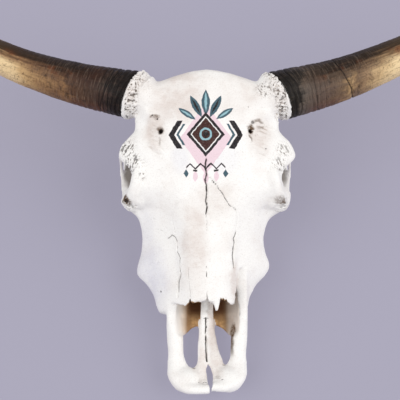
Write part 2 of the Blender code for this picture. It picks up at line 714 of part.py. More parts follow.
def main():
    clear_scene()
    bone = material("painted_bone", (0.86, 0.83, 0.81), 0.65)
    keratin = material("horn", (0.11, 0.07, 0.05), 0.35)
    enamel = material("tooth", (0.62, 0.52, 0.38), 0.4)
    cores = build_cores()
    sockets = build_teeth(enamel)
    build_cranium(bone, cores, sockets)
    for side in HORN_LINES:
        build_horn(side, keratin)
    place_all()


main()
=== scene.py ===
"""Finish of a painted longhorn cattle skull: fine bone surface, ringed horns, worn teeth, stage.

Metres, +Z up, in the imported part's own frame: the snout points to -Y, +X is the animal's left.
Shapes are first measured back along Y from the snout's tip, as on the solids, then moved.
"""

import itertools
import math

import bmesh
import bpy
import numpy as np
from mathutils import Matrix, Vector


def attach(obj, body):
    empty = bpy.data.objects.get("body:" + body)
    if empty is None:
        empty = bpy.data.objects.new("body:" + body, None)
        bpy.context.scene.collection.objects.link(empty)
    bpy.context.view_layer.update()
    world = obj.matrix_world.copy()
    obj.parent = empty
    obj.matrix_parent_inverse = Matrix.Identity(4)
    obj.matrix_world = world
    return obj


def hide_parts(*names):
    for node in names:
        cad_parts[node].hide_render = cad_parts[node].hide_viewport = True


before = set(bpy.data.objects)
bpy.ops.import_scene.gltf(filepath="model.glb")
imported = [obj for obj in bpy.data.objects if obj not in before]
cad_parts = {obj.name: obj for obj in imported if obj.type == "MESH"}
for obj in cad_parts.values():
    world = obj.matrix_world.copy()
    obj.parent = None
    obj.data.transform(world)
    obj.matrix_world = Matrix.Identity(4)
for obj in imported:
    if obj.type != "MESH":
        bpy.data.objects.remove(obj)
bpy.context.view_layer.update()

bl_info = {
    "name": "Painted Longhorn Skull",
    "version": (1, 0, 0),
    "blender": (4, 5, 0),
    "location": "3D View > Sidebar > Skull",
    "description": "Builds a painted cattle skull with ringed horns on a plain stage",
    "category": "Add Mesh",
}

SNOUT_TO_CENTRE = 0.3445
TO_CENTRE = Matrix.Translation((0, -SNOUT_TO_CENTRE, 0))
BOTH_SIDES = (-1, 1)
UP = Vector((0, 0, 1))
BACK = Vector((0, 1, 0))

# Horns: centreline of each, and the sheath's radius by share of its length
HORN_LINES = {
    "left": ((0.1125, 0.446, 0.17), (0.208, 0.4785, 0.164), (0.304, 0.5215, 0.165), (0.393, 0.565, 0.18),
        (0.472, 0.609, 0.208), (0.543, 0.65, 0.249), (0.602, 0.684, 0.303)),
    "right": ((-0.116, 0.4485, 0.169), (-0.208, 0.475, 0.161), (-0.304, 0.511, 0.16),
        (-0.393, 0.554, 0.174), (-0.473, 0.598, 0.202), (-0.545, 0.641, 0.243), (-0.602, 0.678, 0.297)),
}
HORN_RADII = {
    "left": ((0.0, 0.0398), (0.17, 0.0348), (0.34, 0.0302), (0.52, 0.024), (0.7, 0.0172), (0.86, 0.01),
        (0.96, 0.005), (1.0, 0.0)),
    "right": ((0.0, 0.0384), (0.17, 0.0331), (0.34, 0.028), (0.52, 0.0225), (0.7, 0.0162), (0.86, 0.0096),
        (0.96, 0.005), (1.0, 0.0)),
}
HORN_LENGTH = 0.585
HORN_PATH_STEPS = 12
HORN_WIDEST = 0.040
CORE_LENGTH_SHARE = 0.24
CORE_RADIUS = 0.0335
CORE_TIP_RADIUS = 0.0180
CORE_SIDES = 48
SOCKET_SLACK = 0.0010
# Share of the sheath's rings that line its socket
SOCKET_STEPS_SHARE = 0.12
BURR_RADIUS = 0.0412
BURR_WIDTH = 0.015
# How far the sheath's rim and the collar stand askew: slope, and where it has faded out
RIM_LEAN = math.tan(math.radians(12))
RIM_LEAN_REACH = 0.060

# Face: lines of (distance back from the snout's tip, value)
FACE_START = 0.128
FACE_END = 0.335
FACE_TOP = ((0.128, 0.106), (0.15, 0.113), (0.2, 0.127), (0.25, 0.142), (0.3, 0.158), (0.335, 0.172))
FACE_SHOULDER_X = ((0.128, 0.036), (0.200, 0.045), (0.250, 0.057), (0.280, 0.072), (0.335, 0.095))
FACE_SHOULDER_DROP = ((0.128, 0.013), (0.200, 0.018), (0.250, 0.021), (0.300, 0.024))
FACE_SIDE_X = ((0.128, 0.066), (0.138, 0.071), (0.149, 0.0725), (0.159, 0.0765), (0.169, 0.082),
    (0.178, 0.089), (0.187, 0.098), (0.198, 0.1035), (0.207, 0.1035), (0.217, 0.1), (0.228, 0.0965),
    (0.245, 0.095), (0.265, 0.096), (0.285, 0.101), (0.335, 0.1))
FACE_SIDE_Z = ((0.128, 0.052), (0.19, 0.056), (0.211, 0.06), (0.25, 0.076), (0.29, 0.098), (0.335, 0.11))
JAW_X = ((0.128, 0.05), (0.165, 0.055), (0.21, 0.065), (0.25, 0.07), (0.29, 0.07), (0.335, 0.05))
JAW_Z = ((0.128, 0.034), (0.148, 0.025), (0.297, 0.024), (0.314, 0.050), (0.335, 0.085))
PALATE_Z = ((0.128, 0.036), (0.200, 0.038), (0.285, 0.040), (0.310, 0.070), (0.335, 0.090))
JAW_RIDGE_WIDTH = 0.024
CHEEK_SHIFT = ((0.128, 0.007), (0.19, 0.0085), (0.205, 0.005), (0.25, 0.0065), (0.3, 0.002), (0.335, 0.0))
ROW_SHIFT = ((0.128, 0.0065), (0.285, 0.003))

# Forehead plate
BROW_START = 0.255
POLL = 0.478
BROW_TOP = ((0.255, 0.138), (0.3, 0.158), (0.34, 0.175), (0.38, 0.189), (0.42, 0.2), (0.455, 0.205),
    (0.47, 0.203), (0.478, 0.196))
BROW_X = ((0.255, 0.05), (0.28, 0.09), (0.3, 0.119), (0.308, 0.1175), (0.318, 0.1155), (0.327, 0.1205),
    (0.337, 0.1285), (0.35, 0.1365), (0.359, 0.134), (0.369, 0.129), (0.378, 0.12), (0.388, 0.112),
    (0.405, 0.1115), (0.43, 0.108), (0.445, 0.102), (0.455, 0.092), (0.462, 0.078), (0.47, 0.058),
    (0.478, 0.03))
BROW_EDGE_Z = ((0.255, 0.112), (0.28, 0.12), (0.3, 0.134), (0.33, 0.15), (0.36, 0.156), (0.4, 0.166),
    (0.44, 0.178), (0.478, 0.182))

# Roof over the nose, and the nose's inside
ROOF_START = 0.116
ROOF_END = 0.200
ROOF_TOP = ((0.116, 0.101), (0.124, 0.1045), (0.150, 0.113), (0.200, 0.127))
ROOF_HALF = ((0.116, 0.033), (0.124, 0.034), (0.140, 0.037), (0.200, 0.044))
NOSE_START = 0.090
NOSE_END = 0.235
NOSE_MOUTH = 0.070
NOSE_HALF = ((0.090, 0.046), (0.140, 0.046), (0.180, 0.040), (0.235, 0.022))
NOSE_TOP = ((0.090, 0.090), (0.124, 0.096), (0.150, 0.105), (0.200, 0.116), (0.235, 0.118))
NOSE_TOP_HALF = ((0.090, 0.044), (0.140, 0.030), (0.235, 0.016))
NOSE_FLOOR = ((0.090, 0.047), (0.140, 0.045), (0.235, 0.055))
# Notch beside the nasal bones, as (back, up) points: closed early on the right, sprung open on the left
NOSE_NOTCHES = {
    -1: ((0.09, 0.062), (0.122, 0.066), (0.134, 0.078), (0.132, 0.0865), (0.09, 0.08)),
    1: ((0.09, 0.062), (0.128, 0.068), (0.148, 0.076), (0.169, 0.086), (0.198, 0.098), (0.166, 0.0965),
        (0.15, 0.092), (0.128, 0.0865), (0.09, 0.08)),
}
NOSE_WALL = (((0.0, 0.118, 0.044), (0.0, 0.13, 0.046), (0.0, 0.16, 0.05), (0.0, 0.24, 0.06)),
    ((0.0065, 0.004), (0.0075, 0.007), (0.007, 0.012), (0.006, 0.02)))
# Scroll of thin bone that shows in the open notch
SCROLL = (((0.0375, 0.152, 0.087), (0.039, 0.16, 0.09), (0.0405, 0.175, 0.095), (0.041, 0.195, 0.101)),
    ((0.0052, 0.006), (0.0062, 0.006), (0.005, 0.005), (0.003, 0.004)))
NOTCH_START = {-1: 0.0280, 1: 0.0335}
# Where the rods climb to the top of the wall between the nostrils
ROD_BACKS = {
    "right": (((-0.007, 0.092, 0.043), (-0.0066, 0.106, 0.0465), (-0.0054, 0.122, 0.054),
        (-0.005, 0.136, 0.056), (-0.0046, 0.17, 0.057), (-0.004, 0.22, 0.059)),
        ((0.0045, 0.004), (0.005, 0.005), (0.0046, 0.006), (0.0044, 0.006), (0.0042, 0.007),
        (0.004, 0.01))),
    "left": (((0.007, 0.092, 0.043), (0.0056, 0.106, 0.0465), (0.0046, 0.122, 0.0535),
        (0.0044, 0.136, 0.0555), (0.0044, 0.17, 0.0565), (0.004, 0.22, 0.059)),
        ((0.005, 0.004), (0.0056, 0.005), (0.0052, 0.006), (0.005, 0.006), (0.0048, 0.007), (0.004, 0.01))),
}
# Ragged front edge of the nasal bones, from the animal's right to its left
NASAL_EDGE = ((-0.05, 0.128), (-0.04, 0.1235), (-0.036, 0.125), (-0.031, 0.1265), (-0.0275, 0.129),
    (-0.0255, 0.1335), (-0.024, 0.13), (-0.021, 0.1285), (-0.014, 0.1295), (-0.008, 0.129), (-0.003, 0.13),
    (0.0005, 0.1345), (0.002, 0.13), (0.005, 0.1285), (0.008, 0.128), (0.0105, 0.124), (0.0125, 0.117),
    (0.015, 0.116), (0.0165, 0.1195), (0.018, 0.1265), (0.02, 0.134), (0.0225, 0.1315), (0.0235, 0.1345),
    (0.0265, 0.1315), (0.0285, 0.1335), (0.031, 0.13), (0.0345, 0.129), (0.0375, 0.13), (0.05, 0.132))
# Slot between the halves of the muzzle
MUZZLE_SLOT = ((0.0035, -0.01), (0.0062, -0.01), (0.0064, 0.0098), (0.0078, 0.0133), (0.0085, 0.019),
    (0.0077, 0.0281), (0.0038, 0.043), (0.0012, 0.051), (0.0003, 0.046), (0.0005, 0.0281), (0.0011, 0.019),
    (0.003, 0.0133), (0.0036, 0.0098))

# Front of each half of the muzzle: inner edge, edge of the slot, where it starts, how much further back
MUZZLE_FRONTS = {1: (0.0066, 0.0078, 0.015, 0.003), -1: (-0.0037, -0.0004, 0.010, 0.0)}
MUZZLE_PLATE = ((0.046, 0.022), (0.052, 0.052), (0.04, 0.074), (0.0335, 0.058), (0.027, 0.046),
    (0.023, 0.043), (0.019, 0.046), (0.012, 0.058))
PALATE_SHELF = ((-0.002, 0.119), (0.012, 0.115), (0.024, 0.108), (0.036, 0.096), (0.05, 0.098),
    (0.054, 0.14), (-0.002, 0.14))
PLATES_TOP = 0.043

# Eye sockets
ORBIT_CENTRE = (0.0, 0.325, 0.120)
ORBIT_RADIUS = 0.036
ORBIT_RIM_RADIUS = 0.0085
ORBIT_BAR_RADIUS = 0.0034
ORBIT_CUT = (((0.165, 0.326, 0.128), (0.122, 0.334, 0.12), (0.082, 0.34, 0.118), (0.06, 0.346, 0.116)),
    (0.0285, 0.0275, 0.025, 0.014))
# How far out the rim stands, by degrees round it from its backmost point over the top
ORBIT_RIM_X = ((0, 0.1352), (45, 0.12), (90, 0.106), (135, 0.111), (180, 0.121), (225, 0.13), (270, 0.133),
    (315, 0.1354), (360, 0.1352))
ORBIT_HEIGHT_SHARE = 0.91
# How much further in the animal's left eye socket stands
LEFT_ORBIT_INWARD = 0.0040
ORBIT_POINTS = 24
KNOB_SHIFT = 0.0012

# Bars of bone on both sides: points on the animal's left, and a radius or (across, up) for each
INCISIVE_BAR = (((0.052, 0.2, 0.09), (0.0515, 0.172, 0.078), (0.05, 0.145, 0.067), (0.0492, 0.12, 0.0585),
    (0.049, 0.095, 0.05), (0.0475, 0.07, 0.0445), (0.0468, 0.05, 0.0415), (0.045, 0.034, 0.041)),
    ((0.01, 0.012), (0.0115, 0.0145), (0.0125, 0.016), (0.013, 0.0145), (0.013, 0.0115), (0.0122, 0.0095),
    (0.0135, 0.0085), (0.014, 0.008)))
CHEEK_CREST = (((0.114, 0.298, 0.098), (0.094, 0.276, 0.088), (0.086, 0.245, 0.074), (0.089, 0.207, 0.06)),
    (0.016, 0.01, 0.009, 0.009))
CHEEK_ARCH = (((0.12, 0.3, 0.092), (0.1225, 0.325, 0.082), (0.1215, 0.352, 0.086), (0.121, 0.373, 0.091),
    (0.114, 0.392, 0.099), (0.1, 0.412, 0.105), (0.08, 0.425, 0.112)),
    ((0.007, 0.011), (0.009, 0.011), (0.012, 0.01), (0.0125, 0.01), (0.012, 0.011), (0.011, 0.012),
    (0.016, 0.016)))
PEDICLE = (((0.06, 0.425, 0.165), (0.085, 0.436, 0.168), (0.0965, 0.4415, 0.169), (0.1035, 0.4455, 0.17)),
    (0.029, 0.031, 0.0335, 0.037))
ORBIT_WALL = (((0.05, 0.285, 0.095), (0.045, 0.32, 0.1), (0.042, 0.36, 0.105)),
    ((0.035, 0.04), (0.016, 0.034), (0.016, 0.03)))
JUGULAR = (((0.06, 0.424, 0.085), (0.063, 0.43, 0.056), (0.06, 0.434, 0.028), (0.054, 0.436, -0.006)),
    ((0.014, 0.022), (0.009, 0.018), (0.008, 0.014), (0.0075, 0.01)))
EAR_TUBE = (((0.088, 0.402, 0.112), (0.092, 0.418, 0.092), (0.076, 0.43, 0.066)), (0.02, 0.016, 0.01))
RIM_POINTS = ((0.049, 0.052, 0.041), (0.0515, 0.038, 0.042), (0.047, 0.0255, 0.044), (0.036, 0.015, 0.046),
    (0.024, 0.0105, 0.048))
RIM_RADII = (0.0085, 0.0092, 0.0092, 0.0085, 0.0080, 0.0075)
# Rods of the incisive bones, one on each side of the middle slit
RODS = {
    "right": (((-0.007, 0.18, 0.046), (-0.007, 0.14, 0.044), (-0.0072, 0.105, 0.0425),
        (-0.0081, 0.07, 0.0415), (-0.008, 0.05, 0.0405), (-0.012, 0.028, 0.04)),
        ((0.0065, 0.006), (0.0065, 0.006), (0.0058, 0.0055), (0.0069, 0.0055), (0.0082, 0.005),
        (0.011, 0.005))),
    "left": (((0.0055, 0.18, 0.046), (0.0052, 0.14, 0.044), (0.0052, 0.115, 0.0425),
        (0.0079, 0.085, 0.0415), (0.0102, 0.068, 0.041), (0.0138, 0.052, 0.0405), (0.018, 0.036, 0.04),
        (0.0195, 0.026, 0.04)),
        ((0.0062, 0.006), (0.0062, 0.006), (0.006, 0.0055), (0.0079, 0.0055), (0.0096, 0.0055),
        (0.0118, 0.005), (0.011, 0.005), (0.011, 0.005))),
}
NAPE = ((0.046, 0.05, 0.415, 0.446), (0.07, 0.07, 0.4, 0.45), (0.1, 0.088, 0.386, 0.448),
    (0.135, 0.1, 0.38, 0.45), (0.165, 0.104, 0.38, 0.46), (0.188, 0.094, 0.4, 0.47))

# Spaces behind the nose, and the bone that bounds them below
THROAT = (((0.0, 0.25, 0.068), (0.0, 0.29, 0.062), (0.0, 0.33, 0.052), (0.0, 0.38, 0.04)),
    ((0.016, 0.012), (0.022, 0.018), (0.023, 0.02), (0.024, 0.022)))
BRAIN_SPACE = (((0.0, 0.5, 0.078), (0.0, 0.452, 0.084), (0.0, 0.42, 0.1), (0.0, 0.36, 0.116)),
    (0.017, 0.018, 0.034, 0.02))
SKULL_BASE = (((0.0, 0.3, 0.088), (0.0, 0.35, 0.08), (0.0, 0.4, 0.066), (0.0, 0.452, 0.056)),
    ((0.022, 0.012), (0.026, 0.014), (0.028, 0.016), (0.02, 0.012)))
# Rounded lumps of bone: centre and radii, on the animal's left where there are two
BRAINCASE = ((0.0, 0.392, 0.114), (0.062, 0.07, 0.06))
MUZZLE_PAD = ((0.032, 0.0265, 0.0415), (0.0225, 0.02, 0.013))
CHEEK_BULGE = ((0.105, 0.3, 0.112), (0.026, 0.022, 0.022))
CHEEK_KNOB = ((0.116, 0.288, 0.106), (0.013, 0.012, 0.013))
CONDYLE = ((0.027, 0.456, 0.058), (0.018, 0.02, 0.024))
CONDYLE_TURN = math.radians(25)
EAR_BULB = ((0.047, 0.396, 0.054), (0.013, 0.02, 0.018))
# Block under the floor that cuts the jugular processes level: centre and size
GROUND_BLOCK = ((0.0, 0.4, -0.025), (0.4, 0.2, 0.05))

# Cheek teeth, front to back: name, length along the row, width across it
TEETH = (("premolar_2", 0.015, 0.012), ("premolar_3", 0.018, 0.016), ("premolar_4", 0.0185, 0.0185),
    ("molar_1", 0.024, 0.021), ("molar_2", 0.028, 0.023), ("molar_3", 0.03, 0.022))
TOOTH_ROW_START = 0.150
TOOTH_SPACING = 0.0022
TOOTH_TOP = 0.036
TOOTH_WAIST = 0.012
GAP = 0.0003
# Skin of a tooth: height above its grinding face, and how much it grows there
TOOTH_LEVELS = ((0.0, -0.0016), (0.0010, -0.0008), (0.0025, -0.0002), (0.007, 0.0), (TOOTH_WAIST, 0.0),
    (0.020, -0.0001), (0.028, -0.0005), (TOOTH_TOP, -0.0012))
# Rings worn into the grinding face: width as a share of the tooth's, and how far each goes down
TOOTH_WEAR = ((0.045, 0.0), (0.04, -0.0009), (0.045, 0.0))

# Lines on the bone, in the part's own frame: points, half width, depth, darkness
CRACKS = {
    "middle suture": (((-0.0018, -0.012, 0.1722), (-0.0031, -0.0232, 0.1671), (-0.0008, -0.0335, 0.1626),
        (-0.0035, -0.0405, 0.1595), (-0.0013, -0.0494, 0.1564), (-0.0006, -0.0602, 0.1529),
        (-0.0026, -0.0704, 0.1496), (-0.0004, -0.0805, 0.1462), (-0.0014, -0.0893, 0.1436)),
        0.00115, 0.003, 1.0),
    "middle suture, thin end": (((-0.0014, -0.0893, 0.1436), (-0.0002, -0.1034, 0.1393),
        (-0.001, -0.116, 0.136)), 0.0006, 0.001, 0.6),
    "crack across the left brow": (((0.0045, -0.0378, 0.1607), (0.013, -0.0477, 0.157),
        (0.0224, -0.06, 0.1525), (0.0292, -0.0704, 0.1486), (0.0337, -0.0771, 0.1455),
        (0.043, -0.0816, 0.14)), 0.0006, 0.0018, 0.85),
    "left nose suture, faint": (((0.043, -0.0816, 0.14), (0.0458, -0.0899, 0.1342),
        (0.0449, -0.1022, 0.1283), (0.0438, -0.1127, 0.1243)), 0.0005, 0.0008, 0.25),
    "left nose suture": (((0.0438, -0.1127, 0.1243), (0.0405, -0.1222, 0.1229), (0.0419, -0.1265, 0.1195),
        (0.0397, -0.1375, 0.1168), (0.0386, -0.1472, 0.116), (0.0396, -0.1556, 0.1126),
        (0.0408, -0.1637, 0.1081)), 0.0009, 0.0026, 0.85),
    "brow suture, right half": (((-0.0032, -0.0413, 0.1592), (-0.0078, -0.0436, 0.1583),
        (-0.0199, -0.0515, 0.1558), (-0.0335, -0.0641, 0.1505), (-0.0472, -0.0749, 0.1415),
        (-0.0547, -0.0832, 0.1307)), 0.0006, 0.0006, 0.16),
    "right nose suture, faint": (((-0.0547, -0.0832, 0.1307), (-0.0529, -0.0947, 0.1247),
        (-0.0491, -0.1091, 0.1207), (-0.0491, -0.1166, 0.1171)), 0.0005, 0.0008, 0.35),
    "right nose suture": (((-0.0594, -0.1162, 0.1094), (-0.0538, -0.1129, 0.115),
        (-0.0491, -0.1166, 0.1171), (-0.0459, -0.1252, 0.1165), (-0.0451, -0.1391, 0.1113),
        (-0.0415, -0.1498, 0.1129), (-0.0421, -0.1633, 0.1073), (-0.0405, -0.1724, 0.1056)),
        0.0007, 0.002, 0.75),
    "right nose slit": (((-0.0405, -0.1724, 0.1056), (-0.0433, -0.1815, 0.0984),
        (-0.0432, -0.1944, 0.0943), (-0.0436, -0.204, 0.09)), 0.0011, 0.004, 0.6),
    "tear bone suture": (((-0.0942, -0.1028, 0.0837), (-0.0893, -0.0963, 0.0922),
        (-0.0854, -0.095, 0.0976), (-0.0728, -0.1004, 0.1066), (-0.0671, -0.1048, 0.1088)),
        0.0004, 0.0008, 0.45),
    "hairline in the nose": (((-0.0285, -0.1686, 0.1154), (-0.0279, -0.1847, 0.1106),
        (-0.0261, -0.1992, 0.1066), (-0.0248, -0.212, 0.1026)), 0.0004, 0.0008, 0.5),
    "dash in the nose": (((-0.0009, -0.1748, 0.1183), (-0.0009, -0.1822, 0.1166)), 0.0006, 0.002, 0.9),
    "slit between the rods": (((-0.0016, -0.2258, 0.0573), (-0.0016, -0.2326, 0.0537),
        (-0.0016, -0.242, 0.0483), (-0.0016, -0.2539, 0.0457), (-0.0017, -0.2662, 0.0446),
        (-0.0008, -0.2786, 0.0438), (-0.0002, -0.2895, 0.0435)), 0.0009, 0.0045, 0.8),
    "between the rods, behind": (((-0.001, -0.206, 0.0575), (-0.0014, -0.216, 0.058),
        (-0.0016, -0.2258, 0.0573)), 0.0006, 0.0012, 0.6),
    "line across the rods": (((-0.0093, -0.2245, 0.0558), (-0.0047, -0.2268, 0.0578),
        (0.0014, -0.2258, 0.0572)), 0.0006, 0.0009, 0.7),
    # The two creases behind the rims are painted shadow lines along the folds
    "shadowed crease behind the right rim": (((-0.0135, -0.3232, 0.0478), (-0.009, -0.324, 0.0462),
        (-0.0048, -0.3225, 0.0425), (-0.001, -0.3225, 0.0425)), 0.0006, 0.0012, 0.75),
    "shadowed crease behind the left rim": (((0.0085, -0.3195, 0.042), (0.0102, -0.3202, 0.0425),
        (0.0161, -0.3217, 0.0505), (0.0235, -0.3202, 0.0532)), 0.0006, 0.0012, 0.7),
    "palate suture": (((0.0005, -0.2145, 0.036), (-0.0012, -0.19, 0.0367), (0.001, -0.165, 0.0374),
        (-0.0006, -0.14, 0.0381), (0.001, -0.115, 0.0387), (0.0, -0.07, 0.0397)), 0.0009, 0.0022, 0.8),
    "palate cross suture": (((-0.033, -0.1, 0.0385), (-0.018, -0.106, 0.0387), (-0.006, -0.115, 0.0387),
        (0.007, -0.114, 0.0387), (0.019, -0.105, 0.0387), (0.033, -0.101, 0.0385)), 0.0007, 0.0016, 0.65),
    "front of the middle suture": (((-0.0006, -0.2035, 0.1095), (0.0001, -0.211, 0.1075),
        (0.0002, -0.219, 0.1027)), 0.0006, 0.002, 0.75),
}
# Dimples and holes: where, radius, depth, darkness
HOLES = {
    "right nape pit": ((-0.042, 0.118, 0.126), 0.004, 0.003, 0.8),
    "left nape pit": ((0.044, 0.118, 0.122), 0.0034, 0.003, 0.75),
    "right brow foramen": ((-0.0713, 0.0314, 0.1811), 0.004, 0.008, 1.0),
    "left brow foramen": ((0.0663, 0.0312, 0.1822), 0.0034, 0.008, 1.0),
    "left brow pit": ((0.0701, 0.0454, 0.1841), 0.003, 0.0026, 0.62),
    "right brow pit, outer": ((-0.084, 0.0561, 0.1867), 0.0015, 0.002, 0.8),
    "right brow pit, inner": ((-0.0763, 0.0505, 0.1848), 0.0016, 0.0022, 0.85),
    "left forehead pit": ((0.0629, 0.0679, 0.1921), 0.0012, 0.0014, 0.6),
    "left brow dot": ((0.09, 0.0063, 0.171), 0.0013, 0.0016, 0.75),
    "left brow speck": ((0.0898, 0.0386, 0.1769), 0.0009, 0.001, 0.4),
    "right cheek dot": ((-0.0818, -0.0826, 0.1088), 0.0012, 0.0012, 0.4),
    "right nose dot": ((-0.0388, -0.1148, 0.1279), 0.001, 0.001, 0.4),
    "right jaw dimple": ((-0.0763, -0.1474, 0.0882), 0.003, 0.001, 0.12),
    "right jaw dot": ((-0.0659, -0.1729, 0.085), 0.001, 0.001, 0.4),
    "right jaw foramen": ((-0.0709, -0.1885, 0.0722), 0.0016, 0.003, 0.95),
    "left jaw foramen": ((0.0725, -0.187, 0.064), 0.0016, 0.003, 0.8),
    "nose dot": ((-0.0012, -0.168, 0.1204), 0.0012, 0.0012, 0.6),
    "nose dot, front": ((-0.0021, -0.1922, 0.1133), 0.0008, 0.001, 0.35),
    "right eye corner": ((-0.1248, -0.059, 0.123), 0.006, 0.0022, 0.85),
    "left eye corner": ((0.1165, -0.06, 0.127), 0.0018, 0.0012, 0.4),
    "right palate foramen": ((-0.026, -0.096, 0.0386), 0.003, 0.006, 1.0),
    "left palate foramen": ((0.025, -0.095, 0.0386), 0.003, 0.006, 1.0),
    "left cheek speck": ((0.0803, -0.0776, 0.1099), 0.001, 0.001, 0.18),
}
# Patches of pitted bone: where, radius, strength
PITTED = {
    "right eye, above": ((-0.122, 0.012, 0.158), 0.022, 1.0),
    "right eye, inside": ((-0.112, -0.01, 0.154), 0.024, 1.0),
    "right eye, below": ((-0.103, -0.029, 0.151), 0.015, 0.8),
    "left eye, above": ((0.116, 0.01, 0.158), 0.021, 0.8),
    "left eye, inside": ((0.108, -0.012, 0.154), 0.022, 0.8),
    "right burr, inside": ((-0.098, 0.104, 0.198), 0.02, 0.45),
    "left burr, inside": ((0.09, 0.096, 0.196), 0.024, 0.8),
    "right cheek knob": ((-0.116, -0.058, 0.11), 0.02, 0.8),
    "left cheek knob": ((0.116, -0.058, 0.11), 0.02, 0.7),
}
# Brown stains, and painted shadow behind the muzzle's rims: where, radii along X, Y and Z, strength
STAINS_AND_SHADOWS = {
    "right eye corner": ((-0.1245, -0.059, 0.1235), (0.013, 0.012, 0.0165), 1.0),
    "left eye corner": ((0.113, -0.059, 0.129), (0.021, 0.009, 0.017), 0.46),
    "left eye corner, spots": ((0.117, -0.061, 0.125), (0.01, 0.008, 0.011), 0.66),
    "right brow foramen halo": ((-0.071, 0.033, 0.181), (0.0085, 0.01, 0.009), 0.62),
    "right brow foramen tail": ((-0.0715, 0.016, 0.177), (0.003, 0.013, 0.008), 0.42),
    "right brow, beside the pits": ((-0.08, 0.054, 0.186), (0.013, 0.005, 0.008), 0.55),
    "left brow foramen halo": ((0.067, 0.034, 0.182), (0.0085, 0.015, 0.01), 0.72),
    "left brow foramen tail": ((0.0665, 0.02, 0.18), (0.004, 0.008, 0.008), 0.55),
    "left brow shade": ((0.079, 0.048, 0.184), (0.014, 0.0045, 0.008), 0.5),
    "left brow, second shade": ((0.084, 0.039, 0.182), (0.014, 0.0035, 0.008), 0.4),
    # Painted shadow in the hollows behind the muzzle's raised rims
    "behind the right rim": ((-0.006, -0.32, 0.045), (0.012, 0.0055, 0.008), 0.3),
    "behind the left rim": ((0.015, -0.318, 0.048), (0.014, 0.006, 0.01), 0.34),
    "right hole, front": ((-0.021, -0.3, 0.044), (0.005, 0.0035, 0.006), 0.55),
    "left hole, front": ((0.027, -0.296, 0.044), (0.007, 0.004, 0.008), 0.45),
    "wall between nostrils": ((0.006, -0.215, 0.058), (0.01, 0.022, 0.014), 0.24),
    "throat": ((0.0, -0.02, 0.07), (0.045, 0.08, 0.04), 0.45),
    "nape hole": ((0.0, 0.115, 0.085), (0.03, 0.03, 0.03), 0.6),
    "nape, right": ((-0.05, 0.115, 0.125), (0.034, 0.024, 0.028), 0.36),
    "nape, left": ((0.056, 0.112, 0.118), (0.03, 0.024, 0.03), 0.32),
    "left nose wall, low": ((0.0385, -0.245, 0.052), (0.008, 0.018, 0.013), 0.8),
    "left nose wall, lower": ((0.0375, -0.262, 0.049), (0.0055, 0.018, 0.01), 0.55),
}
# Soft tones of the bone under thin paint, and painted shade on the nasal's right strip: where, radii along
# X, Y and Z, strength
TAN_TONES = {
    "upper forehead, right": ((-0.045, 0.088, 0.2), (0.068, 0.066, 0.06), 0.8),
    "upper forehead, left": ((0.048, 0.085, 0.2), (0.058, 0.055, 0.06), 0.5),
    "below the design": ((0.012, -0.072, 0.156), (0.05, 0.036, 0.05), 0.6),
    # Painted shade on the nasal's right half, which slopes away from the key light
    "nasal, right strip": ((-0.019, -0.14, 0.13), (0.027, 0.115, 0.06), 0.7),
    "beside the right foramen": ((-0.078, 0.03, 0.181), (0.026, 0.042, 0.04), 0.9),
    "beside the left foramen": ((0.082, 0.026, 0.181), (0.028, 0.05, 0.04), 0.85),
    "right burr": ((-0.108, 0.098, 0.195), (0.03, 0.05, 0.06), 0.55),
    "left burr": ((0.108, 0.098, 0.195), (0.03, 0.05, 0.06), 0.45),
    "left rod": ((0.012, -0.252, 0.047), (0.0135, 0.085, 0.04), 1.0),
    "muzzle, inner side": ((0.0, -0.305, 0.044), (0.033, 0.024, 0.02), 0.75),
    "right rod": ((-0.007, -0.285, 0.045), (0.008, 0.026, 0.02), 0.8),
    "left rod, front": ((0.018, -0.3, 0.044), (0.013, 0.03, 0.03), 0.85),
    "left wall between nostrils": ((0.008, -0.215, 0.058), (0.01, 0.035, 0.03), 0.9),
    "right bar, inside": ((-0.0365, -0.23, 0.055), (0.0075, 0.06, 0.04), 0.75),
    "left bar, inside": ((0.0365, -0.24, 0.055), (0.009, 0.065, 0.04), 1.0),
    "scroll": ((0.04, -0.175, 0.093), (0.01, 0.045, 0.03), 1.0),
    "nape": ((0.0, 0.118, 0.13), (0.115, 0.042, 0.07), 0.95),
    "palate": ((0.0, -0.14, 0.036), (0.062, 0.13, 0.022), 0.95),
    "skull base": ((0.0, 0.05, 0.055), (0.09, 0.1, 0.05), 0.95),
}
# Pale lavender tints; on the right jaw it is painted shade where the jaw faces away from the key light
COOL_TONES = {
    "right jaw": ((-0.09, -0.17, 0.072), (0.044, 0.08, 0.07), 0.55),
    "right cheek": ((-0.096, -0.1, 0.095), (0.02, 0.05, 0.05), 0.35),
    "forehead under the design": ((0.025, -0.012, 0.172), (0.032, 0.03, 0.04), 0.35),
    "forehead beside the design": ((-0.04, -0.01, 0.172), (0.02, 0.028, 0.04), 0.3),
}
# Painted shade in recesses: where, radii along X, Y and Z, strength
SHADES = {
    "right orbit": ((-0.115, 0.002, 0.104), (0.026, 0.04, 0.045), 1.0),
    "left orbit": ((0.113, 0.002, 0.104), (0.024, 0.04, 0.045), 0.75),
    "left nose wall": ((0.042, -0.218, 0.066), (0.013, 0.05, 0.04), 0.62),
    "left nose wall, front": ((0.0365, -0.262, 0.048), (0.0085, 0.037, 0.022), 0.62),
}
ORBIT_BAR_X = 0.1325
